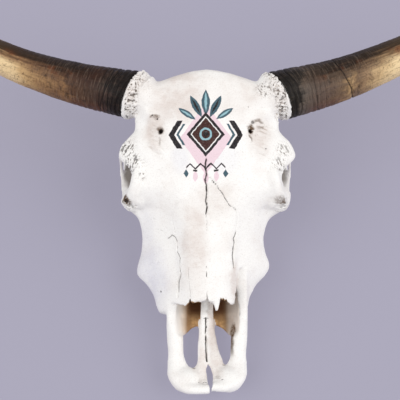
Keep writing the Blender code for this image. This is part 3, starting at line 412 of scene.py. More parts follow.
# Shallow wrinkles: where, radii, which way they follow each other, distance between them, height
RIPPLES = {
    "beside the left foramen": ((0.086, 0.022, 0.176), (0.024, 0.044, 0.04), (0.1, 1.0, 0.0), 0.008, 0.001),
    "beside the right foramen": ((-0.082, 0.02, 0.176), (0.022, 0.044, 0.04), (0.5, 0.86, 0.0),
        0.0085, 0.00095),
    "below the right foramen": ((-0.066, 0.008, 0.172), (0.012, 0.022, 0.03), (0.8, 0.6, 0.0),
        0.006, 0.0006),
    "upper forehead": ((0.0, 0.1, 0.2), (0.075, 0.03, 0.04), (0.15, 1.0, 0.0), 0.011, 0.00025),
    "nape": ((0.0, 0.115, 0.14), (0.09, 0.035, 0.05), (0.25, 0.0, 0.97), 0.0125, 0.001),
    "palate": ((0.0, -0.14, 0.037), (0.036, 0.09, 0.015), (0.95, 0.3, 0.0), 0.012, 0.0006),
    "brow, right half": ((-0.025, -0.06, 0.155), (0.03, 0.02, 0.03), (-0.5, 0.86, 0.0), 0.006, 0.0003),
}


# Numbers along lines, curves and skins

def along(line, at):
    """Value of a line of (place, value) pairs at a place, smooth and with no overshoot."""
    if at <= line[0][0]:
        return line[0][1]
    if at >= line[-1][0]:
        return line[-1][1]
    last = len(line) - 1
    slopes = [(line[i + 1][1] - line[i][1]) / (line[i + 1][0] - line[i][0]) for i in range(last)]
    tangents = [slopes[0]]
    for before, after in zip(slopes, slopes[1:]):
        flat = before * after <= 0
        tangents.append(0.0 if flat else 2 * before * after / (before + after))
    tangents.append(slopes[-1])
    i = max(k for k in range(last) if line[k][0] <= at)
    span = line[i + 1][0] - line[i][0]
    t = (at - line[i][0]) / span
    return (
        (2 * t**3 - 3 * t**2 + 1) * line[i][1]
        + (t**3 - 2 * t**2 + t) * span * tangents[i]
        + (3 * t**2 - 2 * t**3) * line[i + 1][1]
        + (t**3 - t**2) * span * tangents[i + 1]
    )


def curve_points(points, steps, closed=False):
    """Points of a smooth curve through the given ones, with so many steps between each pair."""
    points = [Vector(p) for p in points]
    count = len(points)
    made = []
    for i in range(count if closed else count - 1):
        if closed:
            a, b, c, d = (points[(i + k) % count] for k in (-1, 0, 1, 2))
        else:
            b, c = points[i], points[i + 1]
            a = points[i - 1] if i else b * 2 - c
            d = points[i + 2] if i + 2 < count else c * 2 - b
        for step in range(steps):
            t = step / steps
            made.append(
                0.5 * (2 * b + (c - a) * t + (2 * a - 5 * b + 4 * c - d) * t**2
                       + (3 * b - a - 3 * c + d) * t**3)
            )
    if not closed:
        made.append(points[-1])
    return made


def steps_between(start, end, count):
    return [start + (end - start) * i / (count - 1) for i in range(count)]


def mirrored(points, side):
    return [(x * side, y, z) for x, y, z in points]


def add_loft(bm, rings):
    """Closed skin over rings of equal point counts, with a flat cap at each end."""
    loops = [[bm.verts.new(p) for p in ring] for ring in rings]
    count = len(loops[0])
    for first, second in zip(loops, loops[1:]):
        for i in range(count):
            bm.faces.new((first[i], first[(i + 1) % count], second[(i + 1) % count], second[i]))
    bm.faces.new(loops[0][::-1])
    bm.faces.new(loops[-1])


def add_sections(bm, places, left_half, right_half=None, steps=5):
    """Loft along Y of sections given as (x, z) points from the top middle to the bottom middle."""
    rings = []
    for y in places:
        left = left_half(y)
        right = (right_half or left_half)(y)
        outline = left + [(-x, z) for x, z in right[-2:0:-1]]
        rings.append(curve_points([(x, y, z) for x, z in outline], steps, closed=True))
    add_loft(bm, rings)


def tube_rings(points, radii, sides, up=UP):
    """Rings square to a path. Each radius is a number or (across, upward) pair."""
    rings = []
    for i, point in enumerate(points):
        ahead = (points[min(i + 1, len(points) - 1)] - points[max(i - 1, 0)]).normalized()
        across = ahead.cross(up).normalized()
        upward = across.cross(ahead)
        wide, high = radii[i] if isinstance(radii[i], tuple) else (radii[i], radii[i])
        angles = [2 * math.pi * k / sides for k in range(sides)]
        rings.append([point + across * wide * math.cos(a) + upward * high * math.sin(a)
                      for a in angles])
    return rings


def add_tube(bm, points, radii, sides=20, up=UP, steps=5):
    """Tube along a smooth curve through the points, each with its own radius or (across, up)."""
    path = curve_points(points, steps)
    pairs = [r if isinstance(r, tuple) else (r, r) for r in radii]
    sizes = []
    for i in range(len(path)):
        low = min(i // steps, len(pairs) - 2)
        share = i / steps - low
        sizes.append(tuple(a + (b - a) * share for a, b in zip(pairs[low], pairs[low + 1])))
    add_loft(bm, tube_rings(path, sizes, sides, up))


def add_ball(bm, centre, radii, turn=0.0):
    place = (Matrix.Translation(centre) @ Matrix.Rotation(turn, 4, "Z")
             @ Matrix.Diagonal((*radii, 1)))
    bmesh.ops.create_uvsphere(bm, u_segments=28, v_segments=16, radius=1.0, matrix=place)


def add_side_ball(bm, ball, side, shift=0.0, turn=0.0):
    (x, y, z), radii = ball
    add_ball(bm, (x * side - shift, y, z), radii, turn * side)


def add_side_tube(bm, tube, side, **looks):
    points, radii = tube
    add_tube(bm, mirrored(points, side), radii, **looks)


def add_prism(bm, outline, low, high, axis="Z"):
    """Outline given as pairs, filled and extruded from low to high along an axis."""
    def place(pair, level):
        return (level, *pair) if axis == "X" else (*pair, level)
    add_loft(bm, [[place(pair, level) for pair in outline] for level in (low, high)])


def add_torus(bm, points, radii, sides=12):
    """Closed round bar through the points, each with its own radius."""
    count = len(points)
    centre = sum(points, Vector()) / count
    loops = []
    for i, point in enumerate(points):
        ahead = (points[(i + 1) % count] - points[i - 1]).normalized()
        outward = (point - centre).normalized()
        sideways = ahead.cross(outward)
        angles = [2 * math.pi * k / sides for k in range(sides)]
        loops.append([bm.verts.new(point + outward * radii[i] * math.cos(a)
                                   + sideways * radii[i] * math.sin(a)) for a in angles])
    for i, loop in enumerate(loops):
        after = loops[(i + 1) % count]
        for k in range(sides):
            bm.faces.new((loop[k], loop[(k + 1) % sides], after[(k + 1) % sides], after[k]))


def new_object(name, bm):
    bmesh.ops.recalc_face_normals(bm, faces=bm.faces)
    mesh = bpy.data.meshes.new(name)
    bm.to_mesh(mesh)
    bm.free()
    made = bpy.data.objects.new(name, mesh)
    bpy.context.scene.collection.objects.link(made)
    return made


def add_remesh(made, size):
    remesh = made.modifiers.new("Skin", "REMESH")
    remesh.mode = "VOXEL"
    remesh.voxel_size = size


def add_boolean(made, other, operation):
    cut = made.modifiers.new(other.name, "BOOLEAN")
    cut.operation = operation
    cut.object = other
    cut.solver = "EXACT"


def baked_mesh(made):
    """The object's shape with its modifiers, as a plain mesh."""
    graph = bpy.context.evaluated_depsgraph_get()
    return bpy.data.meshes.new_from_object(made.evaluated_get(graph))


def finish_piece(name, mesh, nodes, paint):
    """Object at the origin that stands for the named nodes and rides with them."""
    mesh.materials.clear()
    mesh.materials.append(paint)
    mesh.shade_smooth()
    piece = bpy.data.objects.new(name, mesh)
    bpy.context.scene.collection.objects.link(piece)
    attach(piece, "root")
    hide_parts(*nodes)
    return piece


# Bone solids

def face_section(y, side_of_face=1):
    top = along(FACE_TOP, y)
    cheek_shift = -along(CHEEK_SHIFT, y) * side_of_face
    row_shift = -along(ROW_SHIFT, y) * side_of_face
    shoulder = along(FACE_SHOULDER_X, y)
    shoulder_z = top - along(FACE_SHOULDER_DROP, y)
    side = along(FACE_SIDE_X, y) + cheek_shift
    side_z = along(FACE_SIDE_Z, y)
    jaw = along(JAW_X, y) + row_shift
    jaw_z = along(JAW_Z, y)
    palate_z = along(PALATE_Z, y)
    return [
        (0.0, top),
        (shoulder * 0.6, top - 0.003),
        (shoulder, shoulder_z),
        ((shoulder + side) / 2 + 0.003, (shoulder_z + side_z) / 2 + 0.003),
        (side, side_z),
        ((side + jaw) / 2 - 0.002, (side_z + jaw_z) / 2),
        (jaw, jaw_z),
        (jaw - JAW_RIDGE_WIDTH, jaw_z),
        (jaw - JAW_RIDGE_WIDTH - 0.008, palate_z),
        (0.0, palate_z),
    ]


def brow_section(y):
    top = along(BROW_TOP, y)
    edge = along(BROW_X, y)
    edge_z = along(BROW_EDGE_Z, y)
    return [
        (0.0, top),
        (edge * 0.5, top - (top - edge_z) * 0.16),
        (edge * 0.85, top - (top - edge_z) * 0.6),
        (edge, edge_z),
        (edge - 0.006, edge_z - 0.012),
        (edge * 0.7, edge_z - 0.022),
        (0.0, edge_z - 0.030),
    ]


def roof_section(y):
    top = along(ROOF_TOP, y)
    half = along(ROOF_HALF, y)
    return [(0.0, top), (half * 0.6, top - 0.003), (half, top - 0.014), (half - 0.006, top - 0.018),
            (half * 0.5, top - 0.010), (0.0, top - 0.007)]


def nose_section(y):
    wide = along(NOSE_HALF, y)
    roof = along(NOSE_TOP, y)
    floor = along(NOSE_FLOOR, y)
    return [(0.0, roof), (along(NOSE_TOP_HALF, y), roof - 0.008), (wide, (roof + floor) / 2 - 0.005),
            (wide * 0.9, floor + 0.006), (wide * 0.6, floor), (0.0, floor)]


def orbit_ring(side):
    """Points round the rim of one orbit, whose lower edge stands out further than its upper."""
    points = []
    for k in range(ORBIT_POINTS):
        angle = 2 * math.pi * k / ORBIT_POINTS
        x = along(ORBIT_RIM_X, math.degrees(angle)) - LEFT_ORBIT_INWARD * (side > 0)
        outward = BACK * math.cos(angle) + UP * ORBIT_HEIGHT_SHARE * math.sin(angle)
        points.append(Vector(ORBIT_CENTRE) + Vector((x * side, 0, 0)) + ORBIT_RADIUS * outward)
    return points


def orbit_radii():
    """Radius of the rim's bar at each of its points: stout above and in front, thin outside."""
    thin = [max(0.0, -math.sin(2 * math.pi * k / ORBIT_POINTS - 0.35)) for k in range(ORBIT_POINTS)]
    return [ORBIT_RIM_RADIUS + (ORBIT_BAR_RADIUS - ORBIT_RIM_RADIUS) * min(1.0, 1.6 * t) for t in thin]


def add_snout(bm):
    for side in BOTH_SIDES:
        add_side_tube(bm, INCISIVE_BAR, side)
        inner, gap, low, lift = MUZZLE_FRONTS[side]
        rim = [(x, y + lift * (y < 0.020), z) for x, y, z in RIM_POINTS] + [(inner, low, 0.047)]
        add_tube(bm, mirrored(rim, side), RIM_RADII)
        plate = ((inner + 0.001, 0.014 + lift), (0.018, 0.009 + lift), (0.030, 0.010 + lift),
                 *MUZZLE_PLATE, (gap, 0.036), (gap, 0.024))
        for outline, bottom in ((plate, 0.0350), (PALATE_SHELF, 0.0340)):
            add_prism(bm, [(x * side, y) for x, y in outline], bottom, PLATES_TOP)
        add_side_ball(bm, MUZZLE_PAD, side)
    for rod in RODS.values():
        add_tube(bm, *rod)


def add_orbits(bm):
    for side in BOTH_SIDES:
        add_torus(bm, orbit_ring(side), orbit_radii())
        add_side_ball(bm, CHEEK_BULGE, side)
        add_side_ball(bm, CHEEK_KNOB, side, shift=KNOB_SHIFT)
        crest = [(x * side - along(CHEEK_SHIFT, y), y, z) for x, y, z in CHEEK_CREST[0]]
        add_tube(bm, crest, CHEEK_CREST[1])
        for tube in (PEDICLE, ORBIT_WALL, EAR_TUBE):
            add_side_tube(bm, tube, side)
        arch = [(x * side - LEFT_ORBIT_INWARD * (side > 0), y, z) for x, y, z in CHEEK_ARCH[0]]
        add_tube(bm, arch, CHEEK_ARCH[1])


def add_braincase(bm):
    add_ball(bm, *BRAINCASE)
    add_tube(bm, *SKULL_BASE)
    rings = []
    for z, half, front, back in NAPE:
        middle = (front + back) / 2
        outline = ((half * 0.92, front, z), (half, middle, z), (half * 0.80, back - 0.006, z),
                   (0.0, back, z), (-half * 0.80, back - 0.006, z), (-half, middle, z),
                   (-half * 0.92, front, z), (0.0, front, z))
        rings.append(curve_points(outline, 3, closed=True))
    add_loft(bm, rings)
    for side in BOTH_SIDES:
        add_side_ball(bm, CONDYLE, side, turn=CONDYLE_TURN)
        add_side_tube(bm, JUGULAR, side, up=BACK)
        add_side_ball(bm, EAR_BULB, side)


def add_pterygoids(bm):
    """Thin upright plates behind the palate, each ending in a small hook."""
    for side in BOTH_SIDES:
        for step in range(4):
            y = 0.285 + 0.018 * step
            low = 0.034 + 0.004 * step * step
            plate = ((0.030, y, 0.098), (0.029, y, 0.070), (0.027, y - 0.004, low))
            add_side_tube(bm, (plate, ((0.006, 0.014), (0.005, 0.013), (0.004, 0.010))), side, up=BACK)


def horn_paths():
    """Path of each horn, and the direction that its root points inward."""
    for line in HORN_LINES.values():
        path = curve_points(line, 5)
        yield path, (path[0] - path[1]).normalized()


def add_burrs(bm):
    """Thick collars of bone that the horn sheaths stand against."""
    depths = (BURR_WIDTH * 1.7, BURR_WIDTH * 0.9, BURR_WIDTH * 0.50, 0.0010)
    radii = (BURR_RADIUS * 0.62, BURR_RADIUS * 0.80, BURR_RADIUS * 0.955, BURR_RADIUS)
    for path, inward in horn_paths():
        points = [path[0] + inward * depth for depth in depths]
        rings = tube_rings(points, radii, CORE_SIDES)
        add_loft(bm, [leaned(ring, point, -inward) for ring, point in zip(rings, points)])


def bone_solids():
    bm = bmesh.new()
    add_sections(bm, steps_between(FACE_START, FACE_END, 40), face_section,
                 lambda y: face_section(y, -1))
    add_sections(bm, steps_between(BROW_START, POLL, 60), brow_section)
    add_sections(bm, steps_between(ROOF_START, ROOF_END, 18), roof_section)
    add_snout(bm)
    add_orbits(bm)
    add_braincase(bm)
    add_pterygoids(bm)
    add_burrs(bm)
    return bm


def hollows():
    """Spaces inside the bone: nose, orbits, throat and braincase."""
    bm = bmesh.new()
    add_sections(bm, steps_between(NOSE_START, NOSE_END, 18), nose_section)
    for side, notch in NOSE_NOTCHES.items():
        add_prism(bm, notch, NOTCH_START[side] * side, 0.100 * side, axis="X")
    add_tube(bm, *THROAT)
    for side in BOTH_SIDES:
        add_side_tube(bm, ORBIT_CUT, side, sides=28)
    add_tube(bm, *BRAIN_SPACE, sides=24)
    return bm


def leaned(ring, middle, ahead):
    """Ring at a horn's root, slid along the horn with its backmost points inward."""
    back = (BACK - ahead * ahead.dot(BACK)).normalized()
    return [p - ahead * RIM_LEAN * (p - middle).dot(back) for p in ring]


def nasal_edge_cutter():
    """Everything in front of the ragged ends of the nasal bones, and the slot in the muzzle."""
    bm = bmesh.new()
    add_prism(bm, MUZZLE_SLOT, 0.020, 0.062)
    outline = ((-0.050, 0.085),) + NASAL_EDGE + ((0.050, 0.085),)
    add_prism(bm, outline, 0.088, 0.125)
    return bm


def nose_walls():
    """The wall between the nostrils, the rods on top of it and the scroll in the open notch."""
    tubes = {"nose_wall": NOSE_WALL, "rod_back_right": ROD_BACKS["right"],
             "rod_back_left": ROD_BACKS["left"], "nose_scroll": SCROLL}
    solids = {}
    for name, tube in tubes.items():
        solids[name] = bmesh.new()
        add_tube(solids[name], *tube)
    return solids


def core_profile():
    """Shares of the horn's length with the core's radius, ending in a blunt tip."""
    shares = steps_between(0.0, 1.0, 7)
    profile = [(CORE_LENGTH_SHARE * share, CORE_RADIUS + (CORE_TIP_RADIUS - CORE_RADIUS) * share)
               for share in shares]
    profile.append((CORE_LENGTH_SHARE * 1.05, CORE_TIP_RADIUS * 0.72))
    return profile


def point_at(path, share):
    place = share * (len(path) - 1)
    low = min(int(place), len(path) - 2)
    return path[low].lerp(path[low + 1], place - low)


def horn_cores():
    bm = bmesh.new()
    shares, radii = zip(*core_profile())
    for path, inward in horn_paths():
        points = [path[0] + inward * 0.010] + [point_at(path, share) for share in shares]
        add_loft(bm, tube_rings(points, (CORE_RADIUS, *radii), CORE_SIDES))
    return bm


# Teeth

def tooth_outline(length, width, grow=0.0):
    """Rounded block with two lobes on its outer side, as (out, along) points."""
    half_long = length / 2 + grow
    half_wide = width / 2 + grow
    lobe = width * 0.08
    return (
        (-half_wide, -half_long * 0.60), (-half_wide * 0.70, -half_long), (half_wide * 0.70, -half_long),
        (half_wide + lobe * 0.2, -half_long * 0.62), (half_wide, -half_long * 0.12),
        (half_wide - lobe, half_long * 0.08), (half_wide, half_long * 0.30),
        (half_wide * 0.86, half_long * 0.94), (half_wide * 0.30, half_long),
        (-half_wide * 0.60, half_long), (-half_wide, half_long * 0.60), (-half_wide * 1.02, 0.0),
    )


def row_x(y, side):
    """X of the middle of a tooth row."""
    return (along(JAW_X, y) - JAW_RIDGE_WIDTH / 2) * side - along(ROW_SHIFT, y)


def tooth_places():
    """Name, middle, heading, size and side of every tooth."""
    for side, side_name in ((1, "left"), (-1, "right")):
        start = TOOTH_ROW_START
        for name, length, width in TEETH:
            middle = start + length / 2
            start += length + TOOTH_SPACING
            turn = math.atan2(row_x(middle + 0.01, side) - row_x(middle - 0.01, side), 0.02)
            place = Vector((row_x(middle, side), middle, 0.0))
            yield f"{side_name}_{name}", place, turn, length, width, side


def tooth_ring(place, turn, outline, side, z):
    ring = []
    for out, ahead in outline:
        x = out * side
        ring.append(Vector((place.x + x * math.cos(turn) + ahead * math.sin(turn),
                            place.y - x * math.sin(turn) + ahead * math.cos(turn), z)))
    return ring


def tooth_sockets():
    bm = bmesh.new()
    levels = ((-0.01, GAP), (TOOTH_WAIST, GAP), (TOOTH_TOP + GAP, GAP))
    for name, place, turn, length, width, side in tooth_places():
        add_loft(bm, [tooth_ring(place, turn, tooth_outline(length, width, grow), side, z)
                      for z, grow in levels])
    return bm


def tooth_mesh(place, turn, length, width, side):
    """Tooth with fluted sides and a ring worn into its grinding face."""
    bm = bmesh.new()
    rings = []
    for z, grow in TOOTH_LEVELS:
        outline = [(x, y, 0.0) for x, y in tooth_outline(length, width, grow)]
        smooth = [(p.x, p.y) for p in curve_points(outline, 4, closed=True)]
        rings.append(tooth_ring(place, turn, smooth, side, z))
    add_loft(bm, rings)
    bmesh.ops.recalc_face_normals(bm, faces=bm.faces)
    bm.faces.ensure_lookup_table()
    bottom = min(bm.faces, key=lambda face: face.calc_center_median().z)
    depth = 0.0
    for share, drop in TOOTH_WEAR:
        bmesh.ops.inset_region(bm, faces=[bottom], thickness=share * width, depth=0.0)
        depth -= drop
        for vert in bottom.verts:
            vert.co.z = depth
    mesh = bpy.data.meshes.new("tooth")
    bm.to_mesh(mesh)
    bm.free()
    return mesh


# Fine surface of the bone

FAR = 9.0
# How near a crack or hole the mesh is finest
MARK_REACH = 0.0028
# Edges are split when they are this many times longer than wanted
EDGE_SLACK = 1.35
RIPPLE_EDGE_SHARE = 0.36
# How far cracks and holes wander, and how far the edges of soft zones do
LINE_DRIFT = 0.0006
ZONE_DRIFT = 0.003
# Layers of noise: height or share, size of the lumps, seed
UNEVENNESS = ((0.00045, 0.013, 5), (0.00022, 0.005, 6))
BURR_GRAINS = ((1.0, 0.0060, 10), (0.7, 0.0031, 11))
BURR_PITS = ((1.0, 0.0034, 12), (0.5, 0.0020, 13))
EYE_PITS = ((1.0, 0.0017, 20),)
EYE_SPECKS = ((0.20, 0.0024, 22),)
EYE_RIDGES = ((0.0009, 0.0050, 21),)
RIPPLE_WOBBLE = ((0.55, 0.016, 41),)
RIPPLE_FADE = ((0.8, 0.012, 42),)
# Pits show from the first value of their noise, and are whole at the second
BURR_PIT_EDGE = (0.16, 0.44)
EYE_PIT_EDGE = (0.06, 0.34)
# Depth of the burrs' pits as a share of their grains' height
BURR_PIT_SHARE = 1.3
# Pits near the eyes run aslant: what their noise reads of the distance off the middle, y and z
PIT_SLANT = ((-0.21, 0.357, 0.0), (0.85, 0.5, 0.0), (0.0, 0.0, 0.6))
# Height of a ripple whose trough gets full painted shade
SHADED_TROUGH_HEIGHT = 0.0007
# Low ridge along the middle of the forehead
RIDGE_HEIGHT = 0.0007
RIDGE_MIDDLE = -0.001
RIDGE_WIDTH = 0.006
RIDGE_START = (0.045, 0.080)
RIDGE_LOWEST = 0.17
# Slopes of cracks and holes as shares of their width, and the same of their dark paint
CRACK_SLOPE = 1.3
CRACK_PAINT = 1.15
HOLE_SLOPE = (0.45, 1.15)
HOLE_PAINT = (0.70, 1.10)
PIT_DARKNESS = 0.66
BURR_PIT_DARKNESS = 0.62
STAIN_DEPTH = 0.0012
# An eye socket's shade stays off the outside of its rim, which reaches so far forward and back
SOCKET_HALF_LENGTH = 0.060
# A hollow this deep gets full painted shade and dirt
SHADE_AND_DIRT_DEPTH = 0.0006
# No point within this height of the floor is moved, and none inside a sheath
FLOOR_REST = 0.0015
SHEATH_START = -0.0004
# Inside of the nose: where its bone turns golden and then darker deeper in, the darkening partly painted
# shade, and the rods that close its front
NOSE_FADE = (0.078, 0.150)
# Lowest golden bone in front of the step and behind it
NOSE_STEP = 0.118
NOSE_LOWEST = (0.036, 0.041)
# Further out than this the bone is golden only where it faces inward
NOSE_WALL_X = 0.0315
# Bone that faces up more than this, and is higher than this, is outer skin
NOSE_SKIN_TURN = 0.35
NOSE_SKIN_LOWEST = 0.068
ROD_HALF = 0.0112
ROD_TOP_HALF = 0.0135
ROD_LOWEST = 0.0485
ROD_TOP_END = 0.122
ROD_END = 0.165


def noise(points, size, seed=0):
    """Smooth noise from -1 to 1 at each point, with lumps of the given size."""
    scaled = points / size
    cell = np.floor(scaled).astype(np.int64)
    part = scaled - cell
    part = part * part * (3 - 2 * part)
    total = np.zeros(len(points))
    for corner in itertools.product((0, 1), repeat=3):
        weight = np.prod(np.where(corner, part, 1 - part), axis=1)
        total += weight * lattice(cell + corner, seed)
    return total * 2 - 1


def lattice(cell, seed):
    """A fixed number from 0 to 1 for each whole-numbered point."""
    mixed = cell[:, 0] * 73856093 ^ cell[:, 1] * 19349663 ^ cell[:, 2] * 83492791 ^ seed * 2654435
    mixed = (mixed ^ (mixed >> 13)) * 1274126177 & 0x7FFFFFFF
    mixed = (mixed ^ (mixed >> 11)) * 668265263 & 0x7FFFFFFF
    return (mixed & 0xFFFFF) / 0xFFFFF


def ease(values, low, high):
    """0 below low, 1 above high and smooth between."""
    t = np.clip((values - low) / (high - low), 0, 1)
    return t * t * (3 - 2 * t)


def line_distance(points, line):
    """Distance of each point from a line of straight pieces."""
    nearest = np.full(len(points), FAR)
    for start, end in zip(line, line[1:]):
        a, b = np.array(start), np.array(end)
        t = np.clip((points - a) @ (b - a) / ((b - a) @ (b - a)), 0, 1)
        nearest = np.minimum(nearest, np.linalg.norm(points - a - t[:, None] * (b - a), axis=1))
    return nearest


def ball_share(points, centre, radii):
    """1 at the centre of a ball or an egg shape, 0 at its surface and beyond."""
    apart = np.linalg.norm((points - np.array(centre)) / np.array(radii), axis=1)
    return 1 - ease(apart, 0.35, 1.0)


def horn_roots():
    """Middle of each horn's root in the part's own frame, and the direction that the horn leaves it."""
    for path, _ in horn_paths():
        yield np.array(path[0]) - (0, SNOUT_TO_CENTRE, 0), np.array((path[1] - path[0]).normalized())


def burr_mask(points):
    """Where the collars round the horns' roots are."""
    mask = np.zeros(len(points))
    for base, outward in horn_roots():
        ahead = (points - base) @ outward
        apart = np.linalg.norm(points - base - ahead[:, None] * outward, axis=1)
        ring = ease(ahead, -0.024, -0.012) * (ahead < 0.0006) * ease(apart, 0.028, 0.034)
        mask = np.maximum(mask, ring * (apart < 0.046))
    return mask


def strongest(points, zones):
    """The greatest share that any of the named soft balls has at each point."""
    share = np.zeros(len(points))
    for centre, radii, strength in zones.values():
        share = np.maximum(share, strength * ball_share(points, centre, radii))
    return share


def wanted_edge(points, bone):
    """How long an edge may be at each point: short near the fine marks."""
    wanted = np.full(len(points), bone.plain_edge)
    marks = np.full(len(points), FAR)
    for line, *_ in CRACKS.values():
        marks = np.minimum(marks, line_distance(points, line))
    for centre, radius, *_ in HOLES.values():
        marks = np.minimum(marks, np.linalg.norm(points - np.array(centre), axis=1) - radius)
    wanted = np.where(marks < MARK_REACH, bone.fine_edge, wanted)
    for centre, radii, _, pitch, _ in RIPPLES.values():
        here = ball_share(points, centre, radii) > 0.05
        wanted = np.where(here, np.minimum(wanted, pitch * RIPPLE_EDGE_SHARE), wanted)
    rough = np.maximum(burr_mask(points), strongest(points, PITTED))
    return np.where(rough > 0.05, np.minimum(wanted, bone.rough_edge), wanted)


def read(items, name, width, kind=float):
    """A value of each of the mesh's items, as rows of so many numbers."""
    flat = np.zeros(len(items) * width, dtype=kind)
    items.foreach_get(name, flat)
    return flat.reshape(-1, width)


def point_normals(points, faces):
    """Mean direction of the faces round each point."""
    corners = points[faces]
    across = np.cross(corners[:, 1] - corners[:, 0], corners[:, 2] - corners[:, 0])
    total = np.zeros_like(points)
    for k in range(3):
        np.add.at(total, faces[:, k], across)
    return total / np.maximum(np.linalg.norm(total, axis=1), 1e-12)[:, None]


def split_triangles(faces, middles):
    """Triangles cut at the middles of their three edges, where an edge without a middle has -1."""
    cuts = (middles >= 0).sum(axis=1)
    pieces = [faces[cuts == 0]]
    a, b, c = faces[cuts == 3].T
    ab, bc, ca = middles[cuts == 3].T
    fresh = [(a, ab, ca), (ab, b, bc), (ca, bc, c), (ab, bc, ca)]
    for turn in range(3):
        turned = np.roll(faces, -turn, axis=1)
        mids = np.roll(middles, -turn, axis=1)
        one = (cuts == 1) & (mids[:, 0] >= 0)
        two = (cuts == 2) & (mids[:, 2] < 0)
        a, b, c = turned[one].T
        ab = mids[one, 0]
        fresh += [(a, ab, c), (ab, b, c)]
        a, b, c = turned[two].T
        ab, bc = mids[two, 0], mids[two, 1]
        fresh += [(ab, b, bc), (a, ab, bc), (a, bc, c)]
    return np.concatenate(pieces + [np.stack(corners, axis=1) for corners in fresh])


def side_keys(points, faces):
    """A number for the two ends of each side of each triangle, whichever way round they come."""
    pairs = np.sort(np.stack([faces, np.roll(faces, -1, axis=1)], axis=2).reshape(-1, 2), axis=1)
    return np.unique(pairs[:, 0] * len(points) + pairs[:, 1], return_inverse=True, return_counts=True)


def parted(points, faces, owners):
    """Give a diagonal its own middle point where its ends are also those of another polygon's edge."""
    keys, which, counts = side_keys(points, faces)
    which = which.reshape(-1)
    middles = np.full(faces.shape, -1)
    fresh = []
    for key in np.flatnonzero(counts > 2):
        rows, sides = np.divmod(np.flatnonzero(which == key), 3)
        for owner in np.unique(owners[rows]):
            mine = owners[rows] == owner
            if mine.sum() == 2:
                middles[rows[mine], sides[mine]] = len(points) + len(fresh)
                fresh.append(points[faces[rows[mine]]].mean(axis=(0, 1)))
                break
    return np.concatenate([points, fresh]) if fresh else points, split_triangles(faces, middles)


def refine(mesh, bone):
    """New mesh whose edges are no longer than wanted where they are, rounded as the surface is."""
    mesh.calc_loop_triangles()
    faces = read(mesh.loop_triangles, "vertices", 3, np.int32).astype(np.int64)
    owners = read(mesh.loop_triangles, "polygon_index", 1, np.int32)[:, 0]
    points, faces = parted(read(mesh.vertices, "co", 3), faces, owners)
    for _ in range(bone.refining_passes):
        wanted = wanted_edge(points, bone)
        keys, which, _ = side_keys(points, faces)
        first, second = np.divmod(keys, len(points))
        span = points[second] - points[first]
        long = np.linalg.norm(span, axis=1) > EDGE_SLACK * np.minimum(wanted[first], wanted[second])
        if not long.any():
            break
        normals = point_normals(points, faces)
        start, end, span = normals[first[long]], normals[second[long]], span[long]
        bulge = (span * end).sum(axis=1)[:, None] * end - (span * start).sum(axis=1)[:, None] * start
        calm = ease((start * end).sum(axis=1), 0.7, 0.9)
        fresh = (points[first[long]] + points[second[long]]) / 2 + bulge * (calm / 8)[:, None]
        number = np.full(len(keys), -1)
        number[long] = len(points) + np.arange(long.sum())
        faces = split_triangles(faces, number[which.reshape(-1)].reshape(-1, 3))
        points = np.concatenate([points, fresh])
    made = bpy.data.meshes.new("painted_cranium")
    made.from_pydata(points.tolist(), [], faces.tolist())
    return made


def hollowness(mesh, points, normals):
    """How far each point lies below the mean of its neighbours, in metres."""
    edges = read(mesh.edges, "vertices", 2, np.int64)
    level = points.copy()
    for _ in range(3):
        total = np.zeros_like(level)
        count = np.zeros(len(level))
        for a, b in ((0, 1), (1, 0)):
            np.add.at(total, edges[:, a], level[edges[:, b]])
            np.add.at(count, edges[:, a], 1)
        level = total / count[:, None]
    return ((level - points) * normals).sum(axis=1)


def drift(points, size, seeds):
    """Noise of its own along each axis, from -1 to 1."""
    return np.stack([noise(points, size, seed) for seed in seeds], axis=1)


def crumbs(points, size, seed):
    """Worm-like ridges, from about -0.5 between them to 0.5 on top."""
    return 0.5 - 2 * np.abs(noise(points, size, seed))


def layered(kind, points, layers):
    """Several sizes of noise or crumbs added up."""
    return sum(share * kind(points, size, seed) for share, size, seed in layers)


def in_nose(points, normals):
    """1 on the walls of the nose's hollow, 0 outside it and on the skin that faces outward."""
    snout_y = points[:, 1] + SNOUT_TO_CENTRE
    roof = np.interp(snout_y, *zip(*NOSE_TOP))
    wide = np.interp(snout_y, *zip(*NOSE_HALF))
    top_half = np.interp(snout_y, *zip(*NOSE_TOP_HALF))
    floor = np.interp(snout_y, *zip(*NOSE_FLOOR))
    height = points[:, 2]
    off_middle = np.abs(points[:, 0])
    middle = (roof + floor) / 2 - 0.005
    slope = np.clip((height - middle) / (roof - 0.008 - middle), 0, 1)
    half = wide + (top_half - wide) * slope + 0.003
    lowest = np.where(snout_y < NOSE_STEP, *NOSE_LOWEST)
    inside = ((snout_y > NOSE_MOUTH) & (snout_y < NOSE_END) & (height < roof + 0.0015)
              & (height > lowest) & (off_middle < half))
    turned_in = -normals[:, 0] * np.sign(points[:, 0])
    low_edge = 0.0505 + 0.0070 * ease(snout_y, 0.095, 0.115)
    wall = np.maximum(ease(turned_in, 0.10, 0.40), (height < low_edge) * (snout_y > NOSE_START))
    sunk = (normals[:, 2] < NOSE_SKIN_TURN) | (height < NOSE_SKIN_LOWEST)
    return inside * np.where(off_middle > NOSE_WALL_X, wall, 1.0) * sunk


def nose_mark(points, normals):
    """How far the bone in the nose turns golden and then brown, the brown partly painted shade deeper in;
    leaves out the rods that close its front.
    """
    off_middle = np.abs(points[:, 0])
    snout_y = points[:, 1] + SNOUT_TO_CENTRE
    low_rods = (off_middle < ROD_HALF) & (points[:, 2] > ROD_LOWEST)
    rods = low_rods | (off_middle < ROD_TOP_HALF) & (snout_y < ROD_TOP_END)
    return in_nose(points, normals) * ease(snout_y, *NOSE_FADE) * (1 - rods * (snout_y < ROD_END))


